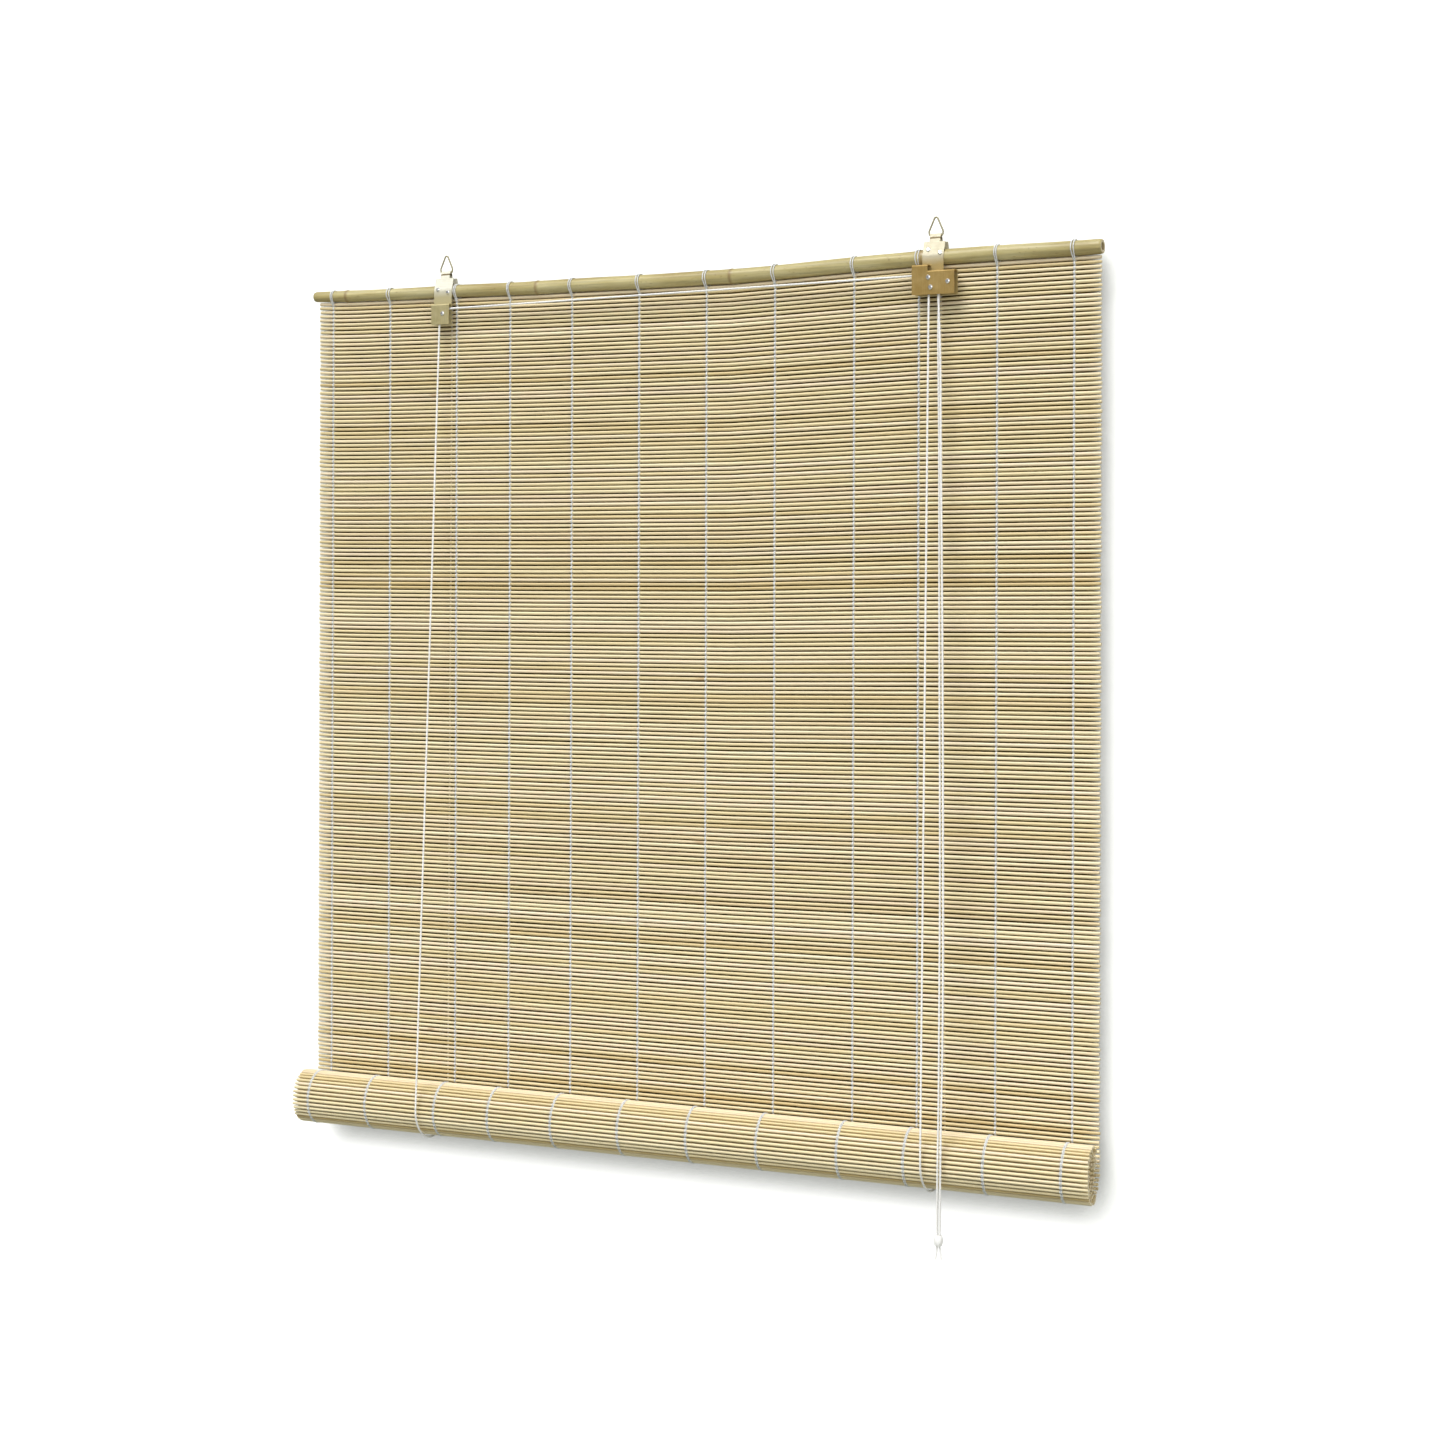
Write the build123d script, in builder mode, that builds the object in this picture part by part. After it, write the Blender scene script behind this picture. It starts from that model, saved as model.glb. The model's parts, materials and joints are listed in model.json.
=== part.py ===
from build123d import *
import os
from math import acos, asin, atan2, cos, degrees, hypot, pi, radians, sin, tan

# Bamboo roll up blind: round slats threaded on warp cords, hung from a bamboo pole and rolled up
# from below by two lift cords that run over a pulley and a cord lock.
# Millimetres. +X along the slats, +Y towards the wall, +Z up. The origin is on the line through
# the two wall hooks, over the middle of the slats.

# Head pole: the natural run of the culm, one entry for each end and node, as
# (distance along the pole, height of its axis over POLE_Z, diameter)
POLE_Z = -39.0
POLE_RUN = (
    (-507.0, -3.0, 12.6),
    (-459.0, -4.5, 13.6),
    (-190.0, -7.5, 15.6),
    (64.0, -8.5, 16.6),
    (296.5, -0.8, 16.8),
    (501.0, 0.2, 16.2),
)
POLE_WALL = 3.0
NODE_SWELL = 0.7
NODE_HALF_WIDTH = 2.2
DIAPHRAGM = 1.6

# Sheet of slats
SHEET_WIDTH = 1000.0
SLAT_DIAMETER = 3.7
SLAT_PITCH = 4.88
SLAT_SIDES = 6
SLATS_HELD = 24
SLATS_TAKEN_UP = 171
SHEET_GAP = 0.4

# Warp cords, by their distance from the middle of the sheet
WARP_X = (-480.0, -397.0, -302.3, -228.0, -144.0, -55.0, 32.0, 118.0, 215.0, 292.0, 383.0, 470.0)
WARP_WIDTH = 1.8
WARP_THICKNESS = 0.7
THREAD_GAP = 0.3
WARP_END_OVER_ROLL = 10.6
LASHING_WIDTH = 2.4
LASHING_THICKNESS = 0.6
LASHING_SIDES = 8

# Roll at the foot of the sheet
ROLL_RADIUS = 33.6
ROLL_SAG = 2.6
WIND_PITCH = 4.3
SCALLOP = 0.9
FOOT_POLE_DIAMETER = 15.4
FOOT_POLE_WALL = 2.8
FOOT_POLE_LENGTH = 940.0
FOOT_POLE_NODES = 4
CORE_GAP = 0.6

# Hanging brackets: a strap folded over the bar of a wire ring, with a leaf down each side of the pole
BRACKET_LEFT_X = -317.7
BRACKET_RIGHT_X = 311.6
STRAP_WIDTH = 24.6
STRAP_SHEET = 0.9
STRAP_FIT = 0.12
EYE_RISE = 15.5
EYE_WIDTH = 12.4
SHOULDER_DROP = 7.1
REAR_LEAF_DROP = 4.5
LUG_REACH = 9.0
LUG_WIDTH = 9.0
LUG_BEND = 1.6
LUG_HOLE = 3.4

# Wire rings
RING_WIRE = 2.0
RING_HALF_BAR = 7.6
RING_HALF_WIDTH = 8.3
RING_SHOULDER = 4.4
RING_EYE_RADIUS = 2.2
RING_EYE_RISE = 17.5
RING_FOOT_BEND = 1.6
RING_SHOULDER_BEND = 4.0

# Nails through the strap into the pole, as (distance from the strap's middle, height over the
# pole's axis)
NAILS_LEFT = ((-7.2, 2.4), (6.8, -1.6))
NAILS_RIGHT = ((-6.0, 7.8), (8.2, 3.9))
NAIL_SHANK = 1.5
NAIL_LENGTH = 7.0
NAIL_HEAD = 5.2
NAIL_HEAD_HEIGHT = 1.5
NAIL_GAP = 0.08

# Lift cords
CORD = 2.2
CORD_GAP = 0.3
CUT_GAP = 0.15
LOOP_LEFT_X = -315.0
LOOP_RIGHT_X = 323.2
HEAD_SHARE = 0.03
TIE_KNOT_WAIST = 1.9
TIE_KNOT_RADIUS = 2.9
TIE_KNOT_HEIGHT = 4.4

# Rivets that hold the cases together and carry the pulleys
RIVET = 2.0
RIVET_HEAD = 5.4
RIVET_HEAD_HEIGHT = 1.6
RIVET_TAIL = 3.4
RIVET_TAIL_HEIGHT = 0.7
RUNNING_GAP = 0.05
SIDE_GAP = 0.25

# Pulleys turn on their rivets and carry one cord each, in a round groove
GROOVE_GAP = 0.4
GROOVE_FLARE = 0.5
FLANGE_RISE = 1.1
FLANGE = 0.3

# Left pulley and its case, with the case's edges measured from the pulley's axis
PULLEY_LEFT_PITCH = 5.5
PULLEY_LEFT_FROM_STRAP = 3.2
PULLEY_LEFT_Z = -72.3
CASE_INSIDE = 5.4
CASE_TOP = 11.3
CASE_FOOT = -13.1
PLATE_CORNER = 1.2
COVER_BEND = 1.4

# Cord lock. Its edges, lower pulley, cam and cords are measured from the upper pulley's axis
UPPER_PITCH = 3.3
UPPER_FROM_STRAP = -1.6
UPPER_Z = -63.4
LOWER_PITCH = 3.1
LOWER_AT = (2.6, -10.8)
CAM_AT = (22.6, -5.3)
LOCK_INSIDE = 9.2
LOCK_EDGES = (-19.0, 30.4)
LOCK_TOP_LEFT = 14.0
LOCK_TOP_RIGHT = 7.4
LOCK_STEP_X = -0.6
LOCK_FOOT = -18.8
LANE_SPACING = 3.3
LOCKED_CORD_X = 10.4
UPPER_FEED_ANGLE = 50.0
LOWER_FEED_ANGLE = 20.0
FEED_BEND = 3.0
TONGUE_FOOT = -17.6
TONGUE_TOP = -13.0
TONGUE_REACH = 7.8
TONGUE_GAP = 0.2

# Cam of the lock, measured from its own rivet
CAM_HUB_RADIUS = 3.6
CAM_NOSE_TOP = -7.7
CAM_NOSE_FOOT = -12.0
CAM_TEETH = 4
CAM_TOOTH = 0.6
CAM_GAP = 0.15

# Free ends of the two lift cords, from just below the lock down over the front of the roll to
# their knot, points chosen by eye along each cord
PULL_CORD_LEFT = (
    (319.8, -13.3, -101.0),
    (320.8, -16.1, -147.0),
    (324.6, -21.5, -247.0),
    (330.1, -33.7, -447.0),
    (337.7, -47.9, -690.0),
    (341.8, -60.0, -880.0),
    (343.6, -65.8, -965.0),
    (343.2, -68.0, -1022.0),
    (343.5, -67.9, -1086.0),
)
PULL_CORD_RIGHT = (
    (321.6, -16.3, -101.0),
    (324.5, -18.4, -147.0),
    (327.6, -24.6, -247.0),
    (334.6, -35.5, -447.0),
    (342.0, -50.2, -690.0),
    (346.6, -61.4, -880.0),
    (347.0, -67.2, -965.0),
    (347.3, -69.3, -1022.0),
    (346.6, -68.9, -1086.0),
)
BEND_SHARE = 0.45
KNOT_AT = (345.0, -68.4)
KNOT_RADIUS = 4.8
KNOT_WAIST = 3.6
KNOT_HEIGHT = 11.0
KNOT_END = 16.0
KNOT_END_SPREAD = 2.4

os.makedirs("parts", exist_ok=True)


def save(part, name):
    """Label a finished piece and write it to its own file."""
    part.label = name
    export_step(part, f"parts/{name}.step")


def front_plane(x, y, z):
    """A plane parallel to the sheet, seen from in front: its axes are +X and +Z, its normal -Y."""
    return Plane(origin=(x, y, z), x_dir=(1, 0, 0), z_dir=(0, -1, 0))


def pole_at(x):
    """Height of the head pole's axis, and its radius, at a distance along the pole."""
    for (x0, z0, d0), (x1, z1, d1) in zip(POLE_RUN, POLE_RUN[1:]):
        if x <= x1:
            break
    share = (x - x0) / (x1 - x0)
    return POLE_Z + z0 + share * (z1 - z0), (d0 + share * (d1 - d0)) / 2


# Places that follow from the sizes above
slat_radius = SLAT_DIAMETER / 2
pole_underside = min(POLE_Z + z - d / 2 for _, z, d in POLE_RUN[1:-1]) - NODE_SWELL
first_slat_z = pole_underside - SHEET_GAP - slat_radius
first_taken_up_z = first_slat_z - SLATS_HELD * SLAT_PITCH
roll_z = first_taken_up_z - SLATS_TAKEN_UP * SLAT_PITCH - ROLL_SAG
wind_radius = ROLL_RADIUS - slat_radius
roll_y = -wind_radius
first_turn = -asin(ROLL_SAG / wind_radius)
cord_radius = CORD / 2
loop_radius = ROLL_RADIUS + CORD_GAP + cord_radius


# Head pole, hollow between its nodes


def culm_length(start, end, near_gap, far_gap, wall, mode):
    """Loft one tapered length of culm, wall thinner all round and short of its ends by the gaps."""
    (x0, z0, d0), (x1, z1, d1) = start, end
    near = Vector(x0, 0, POLE_Z + z0)
    far = Vector(x1, 0, POLE_Z + z1)
    along = (far - near).normalized()
    sections = []
    for place, diameter in ((near + along * near_gap, d0), (far - along * far_gap, d1)):
        with BuildSketch(Plane(origin=place, x_dir=(0, 1, 0), z_dir=along)) as section:
            Circle(diameter / 2 - wall)
        sections.append(section.sketch)
    loft(sections, mode=mode)


def nail_plane(bracket_x, nail):
    """The plane on the strap's outer face under a nail's head, its normal out along the nail."""
    offset, height = nail
    pole_z, pole_radius = pole_at(bracket_x)
    reach, lean = strap_reach(pole_radius)
    outer = reach + STRAP_SHEET / 2
    turn = min(max(asin(max(height, 0) / outer), 0), lean)
    over = height - outer * sin(turn) if height > 0 else height
    y = -outer * cos(turn) + over * tan(turn)
    return Plane(
        origin=(bracket_x + offset, y, pole_z + height),
        x_dir=(1, 0, 0),
        z_dir=(0, -cos(turn), sin(turn)),
    )


def strap_reach(pole_radius):
    """Radius of the strap's middle line round the pole, and the lean of its leaves above the pole."""
    reach = pole_radius + STRAP_FIT + STRAP_SHEET / 2
    eye = eye_radius()
    return reach, asin((reach - eye) / (pole_radius + EYE_RISE))


def eye_radius():
    """Radius of the strap's middle line round the ring's bar."""
    return RING_WIRE / 2 + RUNNING_GAP + STRAP_SHEET / 2


nail_planes = [nail_plane(BRACKET_LEFT_X, nail) for nail in NAILS_LEFT]
nail_planes += [nail_plane(BRACKET_RIGHT_X, nail) for nail in NAILS_RIGHT]

with BuildPart() as head_pole:
    last = len(POLE_RUN) - 2
    for i, (start, end) in enumerate(zip(POLE_RUN, POLE_RUN[1:])):
        near_gap = -DIAPHRAGM / 2 if i > 0 else 0
        far_gap = -DIAPHRAGM / 2 if i < last else 0
        culm_length(start, end, near_gap, far_gap, 0, Mode.ADD)
    for x, z, diameter in POLE_RUN[1:-1]:
        with BuildSketch(front_plane(x, 0, POLE_Z + z)):
            with BuildLine():
                rim = diameter / 2 - 0.1
                ThreePointArc((-NODE_HALF_WIDTH, rim), (0, rim + NODE_SWELL), (NODE_HALF_WIDTH, rim))
                Polyline(
                    (NODE_HALF_WIDTH, rim), (NODE_HALF_WIDTH, 0),
                    (-NODE_HALF_WIDTH, 0), (-NODE_HALF_WIDTH, rim),
                )
            make_face()
        revolve(axis=Axis((x, 0, POLE_Z + z), (1, 0, 0)))
    for i, (start, end) in enumerate(zip(POLE_RUN, POLE_RUN[1:])):
        near_gap = DIAPHRAGM / 2 if i > 0 else -1
        far_gap = DIAPHRAGM / 2 if i < last else -1
        culm_length(start, end, near_gap, far_gap, POLE_WALL, Mode.SUBTRACT)
    for plane in nail_planes:
        with Locations(plane):
            Cylinder(
                NAIL_SHANK / 2 + NAIL_GAP, 2 * (NAIL_LENGTH + 2 * NAIL_SHANK), mode=Mode.SUBTRACT
            )
save(head_pole.part, "head_pole")


# Hanging slats: the first ones stay flat with the blind full up, and the roll takes up the rest


def slats(top_z, count):
    """A column of separate slats, the first one's axis at top_z."""
    with BuildPart() as column:
        with BuildSketch(Plane.YZ.offset(-SHEET_WIDTH / 2)):
            with Locations(*[(0, top_z - i * SLAT_PITCH) for i in range(count)]):
                RegularPolygon(slat_radius, SLAT_SIDES)
        extrude(amount=SHEET_WIDTH)
    return column.part


save(slats(first_slat_z, SLATS_HELD), "slats_held")
save(slats(first_taken_up_z, SLATS_TAKEN_UP), "slats_taken_up")


# Warp cords in front of the slats and behind them


def warps(top_z, foot_z):
    """The front and back strands of every warp cord between two heights."""
    off = slat_radius + THREAD_GAP + WARP_THICKNESS / 2
    with BuildPart() as strands:
        with Locations(*[(x, y, (top_z + foot_z) / 2) for x in WARP_X for y in (-off, off)]):
            Box(WARP_WIDTH, WARP_THICKNESS, top_z - foot_z)
    return strands.part


warp_top_z = first_slat_z - slat_radius - 2 * THREAD_GAP - LASHING_THICKNESS
warp_split_z = first_taken_up_z + SLAT_PITCH / 2
save(warps(warp_top_z, warp_split_z + CUT_GAP), "warps_held")
save(warps(warp_split_z, roll_z + WARP_END_OVER_ROLL), "warps_taken_up")

# Lashings: each warp cord looped over the pole and under the first slat
with BuildPart() as pole_lashings:
    for x in WARP_X:
        axis_z, pole_radius = pole_at(x)
        half_step = 180 / LASHING_SIDES
        corner = (pole_radius + THREAD_GAP) / cos(radians(half_step))
        turns = [-half_step + 2 * half_step * i for i in range(LASHING_SIDES // 2 + 2)]
        outline = [(corner * cos(radians(a)), axis_z + corner * sin(radians(a))) for a in turns]
        under = slat_radius + THREAD_GAP
        outline += [(-under, first_slat_z - under), (under, first_slat_z - under)]
        with BuildSketch(Plane.YZ.offset(x - LASHING_WIDTH / 2)):
            with BuildLine():
                Polyline(*outline, close=True)
            make_face()
            offset(amount=LASHING_THICKNESS, kind=Kind.INTERSECTION)
            with BuildLine():
                Polyline(*outline, close=True)
            make_face(mode=Mode.SUBTRACT)
        extrude(amount=LASHING_WIDTH)
save(pole_lashings.part, "pole_lashings")


# Roll: the wound turns of the sheet, one spiral band ribbed with the slats


def roll_point(radius, turn):
    """A point of the roll's section, the turn counted from the wall side down and to the front."""
    return (roll_y + radius * cos(turn), roll_z - radius * sin(turn))


outer_edge = []
inner_edge = []
turn = first_turn
core_radius = FOOT_POLE_DIAMETER / 2 + CORE_GAP
radius = wind_radius
while radius - slat_radius > core_radius:
    step = SLAT_PITCH / radius
    outer_edge.append(roll_point(radius + slat_radius, turn - 0.26 * step))
    outer_edge.append(roll_point(radius + slat_radius, turn + 0.26 * step))
    outer_edge.append(roll_point(radius + slat_radius - SCALLOP, turn + 0.5 * step))
    inner_edge.append(roll_point(radius - slat_radius, turn))
    turn += step
    radius = wind_radius - WIND_PITCH * (turn - first_turn) / (2 * pi)
print("slats in the roll", len(inner_edge), "turns", round(turn / (2 * pi), 2))

with BuildPart() as rolled_slats:
    with BuildSketch(Plane.YZ.offset(-SHEET_WIDTH / 2)):
        with BuildLine():
            Polyline(*outer_edge[:-1], *reversed(inner_edge), close=True)
        make_face()
    extrude(amount=SHEET_WIDTH)
save(rolled_slats.part, "rolled_slats")

# Foot pole in the middle of the roll, hollow between its nodes
with BuildPart() as foot_pole:
    cell = FOOT_POLE_LENGTH / FOOT_POLE_NODES
    with BuildSketch(Plane.YZ.offset(-FOOT_POLE_LENGTH / 2)):
        with Locations((roll_y, roll_z)):
            Circle(FOOT_POLE_DIAMETER / 2)
    extrude(amount=FOOT_POLE_LENGTH)
    for i in range(FOOT_POLE_NODES + 1):
        near = max(-FOOT_POLE_LENGTH / 2 + (i - 0.5) * cell + DIAPHRAGM / 2, -FOOT_POLE_LENGTH / 2)
        far = min(-FOOT_POLE_LENGTH / 2 + (i + 0.5) * cell - DIAPHRAGM / 2, FOOT_POLE_LENGTH / 2)
        with BuildSketch(Plane.YZ.offset(near)):
            with Locations((roll_y, roll_z)):
                Circle(FOOT_POLE_DIAMETER / 2 - FOOT_POLE_WALL)
        extrude(amount=far - near, mode=Mode.SUBTRACT)
save(foot_pole.part, "foot_pole")


# Studs: nails and rivets, turned about their own axis


def stud(plane, shank, length, head, head_height, tail=0.0, tail_height=0.0):
    """A stud with its head's underside on the plane and its shank behind it, and a flat tail."""
    profile = [(0, -length - tail_height), (tail / 2, -length - tail_height), (tail / 2, -length)]
    if tail == 0:
        profile = [(0, -length - shank), (shank / 2, -length)]
    profile += [(shank / 2, -length), (shank / 2, 0)] if tail else [(shank / 2, 0)]
    profile += [(head / 2, 0), (head / 2, 0.3 * head_height)]
    profile += [(0.3 * head, head_height), (0, head_height)]
    with BuildSketch(Plane(origin=plane.origin, x_dir=plane.x_dir, z_dir=-plane.y_dir)) as half:
        with BuildLine():
            Polyline(*profile, close=True)
        make_face()
    revolve(half.sketch, axis=Axis(plane.origin, plane.z_dir))


with BuildPart() as bracket_nails:
    for plane in nail_planes:
        stud(plane, NAIL_SHANK, NAIL_LENGTH, NAIL_HEAD, NAIL_HEAD_HEIGHT)
save(bracket_nails.part, "bracket_nails")


# Brackets: the folded strap with its ring eye, rear lug and the back plate of the pulley case


def strap_section(bracket_x, front_foot):
    """Section of the strap: up the pole's front, over the ring's eye, down the back to the lug."""
    axis_z, pole_radius = pole_at(bracket_x)
    reach, lean = strap_reach(pole_radius)
    lug_z = axis_z - REAR_LEAF_DROP
    side = degrees(lean)
    eye_z = axis_z + pole_radius + EYE_RISE
    with BuildSketch(Plane.YZ.offset(bracket_x - STRAP_WIDTH / 2)) as section:
        with BuildLine():
            front = CenterArc((0, axis_z), reach, 180, -side)
            eye = CenterArc((0, eye_z), eye_radius(), 180 - side, 2 * side - 180)
            rear = CenterArc((0, axis_z), reach, side, -side)
            Line((-reach, front_foot), front @ 0)
            Line(front @ 1, eye @ 0)
            Line(eye @ 1, rear @ 0)
            FilletPolyline(
                rear @ 1,
                (reach, lug_z),
                (reach + LUG_REACH, lug_z),
                radius=LUG_BEND + STRAP_SHEET / 2,
            )
        trace(line_width=STRAP_SHEET)
    return section.sketch


def bracket(bracket_x, outline, leaf_foot, rivets, tongue_x=None):
    """A bracket: strap, case back plate within the outline, rear lug and all its holes."""
    axis_z, pole_radius = pole_at(bracket_x)
    reach, _ = strap_reach(pole_radius)
    plate_y = -reach - STRAP_SHEET / 2
    neck_cut = (STRAP_WIDTH - EYE_WIDTH) / 2
    lug_cut = (STRAP_WIDTH - LUG_WIDTH) / 2
    lug_y, lug_z = lug_place(bracket_x)
    with BuildPart() as body:
        extrude(strap_section(bracket_x, leaf_foot), amount=STRAP_WIDTH)
        for side in (-1, 1):
            neck_x = bracket_x + side * (STRAP_WIDTH - neck_cut) / 2
            with Locations((neck_x, 0, axis_z + pole_radius + EYE_RISE)):
                Box(neck_cut, 2 * reach, 2 * SHOULDER_DROP, mode=Mode.SUBTRACT)
            lug_x = bracket_x + side * (STRAP_WIDTH - lug_cut) / 2
            with Locations((lug_x, reach + LUG_BEND + LUG_REACH / 2, axis_z)):
                Box(lug_cut, LUG_REACH, 4 * REAR_LEAF_DROP, mode=Mode.SUBTRACT)
        with BuildSketch(front_plane(0, plate_y + STRAP_SHEET, 0)) as plate:
            with BuildLine():
                Polyline(*outline, close=True)
            make_face()
            fillet(plate.vertices(), PLATE_CORNER)
        extrude(amount=STRAP_SHEET)
        if tongue_x is not None:
            with Locations((tongue_x, plate_y, UPPER_Z + TONGUE_FOOT)):
                Box(
                    STRAP_SHEET, TONGUE_REACH, TONGUE_TOP - TONGUE_FOOT,
                    align=(Align.MAX, Align.MAX, Align.MIN),
                )
        for x, z in rivets:
            with Locations(front_plane(x, plate_y, z)):
                Cylinder(RIVET / 2 + NAIL_GAP, 4 * STRAP_SHEET, mode=Mode.SUBTRACT)
        with Locations((bracket_x, lug_y, lug_z)):
            Cylinder(LUG_HOLE / 2, 4 * STRAP_SHEET, mode=Mode.SUBTRACT)
        for plane in nail_planes:
            with Locations(plane):
                Cylinder(NAIL_SHANK / 2 + NAIL_GAP, 4 * STRAP_SHEET, mode=Mode.SUBTRACT)
    return body.part


def lug_place(bracket_x):
    """Where the lift cord passes through a bracket's rear lug, as (y, z)."""
    axis_z, pole_radius = pole_at(bracket_x)
    reach, _ = strap_reach(pole_radius)
    return reach + LUG_REACH - LUG_WIDTH / 2, axis_z - REAR_LEAF_DROP


def back_plate_face(bracket_x):
    """Distance from the sheet's middle to the front face of a bracket's back plate."""
    return strap_reach(pole_at(bracket_x)[1])[0] + STRAP_SHEET / 2


left_face = back_plate_face(BRACKET_LEFT_X)
lock_face = back_plate_face(BRACKET_RIGHT_X)
left_x = BRACKET_LEFT_X + PULLEY_LEFT_FROM_STRAP
lock_x = BRACKET_RIGHT_X + UPPER_FROM_STRAP
lower_place = (lock_x + LOWER_AT[0], UPPER_Z + LOWER_AT[1])
cam_place = (lock_x + CAM_AT[0], UPPER_Z + CAM_AT[1])
locked_x = lock_x + LOCKED_CORD_X

left_sides = (BRACKET_LEFT_X - STRAP_WIDTH / 2, BRACKET_LEFT_X + STRAP_WIDTH / 2)
left_top = PULLEY_LEFT_Z + CASE_TOP
left_foot = PULLEY_LEFT_Z + CASE_FOOT
lock_sides = (lock_x + LOCK_EDGES[0], lock_x + LOCK_STEP_X, lock_x + LOCK_EDGES[1])
lock_tops = (UPPER_Z + LOCK_TOP_LEFT, UPPER_Z + LOCK_TOP_RIGHT)
lock_foot = UPPER_Z + LOCK_FOOT

left_outline = [
    (left_sides[0], left_foot), (left_sides[1], left_foot),
    (left_sides[1], left_top), (left_sides[0], left_top),
]
lock_outline = [
    (lock_sides[0], lock_foot), (lock_sides[2], lock_foot),
    (lock_sides[2], lock_tops[1]), (lock_sides[1], lock_tops[1]),
    (lock_sides[1], lock_tops[0]), (lock_sides[0], lock_tops[0]),
]
lock_rivet_places = [(lock_x, UPPER_Z), lower_place, cam_place]

bracket_left = bracket(
    BRACKET_LEFT_X, left_outline, left_top - 2 * PLATE_CORNER, [(left_x, PULLEY_LEFT_Z)]
)
save(bracket_left, "bracket_left")
tongue_x = locked_x - cord_radius - TONGUE_GAP
bracket_right = bracket(
    BRACKET_RIGHT_X, lock_outline, lock_tops[1] - 2 * PLATE_CORNER, lock_rivet_places, tongue_x
)
save(bracket_right, "bracket_right")


# Wire rings, each a closed pear shape that swings in its bracket's eye


def ring(bracket_x):
    """A wire ring with its bar in the bracket's eye and its small eye on top."""
    axis_z, pole_radius = pole_at(bracket_x)
    slope = atan2(RING_HALF_WIDTH, RING_EYE_RISE - RING_SHOULDER)
    for _ in range(8):
        apex = RING_EYE_RISE + RING_EYE_RADIUS / sin(slope)
        slope = atan2(RING_HALF_WIDTH, apex - RING_SHOULDER)
    corners = [
        (-RING_HALF_BAR, 0), (RING_HALF_BAR, 0), (RING_HALF_WIDTH, RING_SHOULDER),
        (0, apex), (-RING_HALF_WIDTH, RING_SHOULDER),
    ]
    bends = [RING_FOOT_BEND, RING_FOOT_BEND, RING_SHOULDER_BEND, RING_EYE_RADIUS, RING_SHOULDER_BEND]
    with BuildPart() as wire:
        with BuildLine(front_plane(bracket_x, 0, axis_z + pole_radius + EYE_RISE)) as run:
            FilletPolyline(*corners, radius=bends, close=True)
        with BuildSketch(Plane(origin=run.line @ 0, z_dir=run.line % 0)):
            Circle(RING_WIRE / 2)
        sweep()
    return wire.part


save(ring(BRACKET_LEFT_X), "ring_left")
save(ring(BRACKET_RIGHT_X), "ring_right")


# Case fronts, each with a top lip bent back to the back plate


def case_front(face, inside, foot, spans, rivets):
    """A case front over the given spans, each span being (near side, far side, top)."""
    front_y = -face - inside - STRAP_SHEET / 2
    with BuildPart() as shell:
        for near, far, top in spans:
            with BuildSketch(Plane.YZ.offset(near)):
                with BuildLine():
                    FilletPolyline(
                        (-face, top - STRAP_SHEET / 2),
                        (front_y, top - STRAP_SHEET / 2),
                        (front_y, foot),
                        radius=COVER_BEND,
                    )
                trace(line_width=STRAP_SHEET)
            extrude(amount=far - near)
        corners = shell.edges().filter_by(Axis.Y).group_by(Axis.Z)[0]
        fillet(corners, PLATE_CORNER)
        for x, z in rivets:
            with Locations(front_plane(x, front_y, z)):
                Cylinder(RIVET / 2 + NAIL_GAP, 4 * STRAP_SHEET, mode=Mode.SUBTRACT)
    return shell.part


save(
    case_front(
        left_face, CASE_INSIDE, left_foot,
        [(left_sides[0], left_sides[1], left_top)], [(left_x, PULLEY_LEFT_Z)],
    ),
    "case_front_left",
)
save(
    case_front(
        lock_face, LOCK_INSIDE, lock_foot,
        [(lock_sides[0], lock_sides[1], lock_tops[0]), (lock_sides[1], lock_sides[2], lock_tops[1])],
        lock_rivet_places,
    ),
    "case_front_lock",
)


# Rivets through the cases


def rivets(face, inside, places):
    """Rivets from a case's front to its back plate, headed in front and closed behind."""
    length = inside + 2 * STRAP_SHEET
    with BuildPart() as row:
        for x, z in places:
            plane = front_plane(x, -face - inside - STRAP_SHEET, z)
            stud(plane, RIVET, length, RIVET_HEAD, RIVET_HEAD_HEIGHT, RIVET_TAIL, RIVET_TAIL_HEIGHT)
    return row.part


save(rivets(left_face, CASE_INSIDE, [(left_x, PULLEY_LEFT_Z)]), "rivet_left")
save(rivets(lock_face, LOCK_INSIDE, lock_rivet_places), "rivets_lock")


# Pulleys


def pulley(x, z, middle_y, width, lane, pitch):
    """A pulley on a rivet, its groove off the middle of its hub by the lane, counted to the front."""
    hub = pitch - cord_radius - GROOVE_GAP
    bore = RIVET / 2 + RUNNING_GAP
    half_groove = cord_radius + GROOVE_GAP
    half_flare = half_groove + GROOVE_FLARE
    half_rim = half_flare + FLANGE
    rim = pitch + FLANGE_RISE
    with BuildPart() as wheel:
        with BuildSketch(Plane(origin=(x, middle_y, z), x_dir=(1, 0, 0), z_dir=(0, 0, 1))):
            with BuildLine():
                Polyline(
                    (pitch, -lane - half_groove),
                    (rim, -lane - half_flare),
                    (rim, -lane - half_rim),
                    (hub, -lane - half_rim),
                    (hub, -width / 2),
                    (bore, -width / 2),
                    (bore, width / 2),
                    (hub, width / 2),
                    (hub, -lane + half_rim),
                    (rim, -lane + half_rim),
                    (rim, -lane + half_flare),
                    (pitch, -lane + half_groove),
                )
                ThreePointArc((pitch, -lane + half_groove), (hub, -lane), (pitch, -lane - half_groove))
            make_face()
        revolve(axis=Axis((x, middle_y, z), (0, 1, 0)))
    return wheel.part


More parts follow.
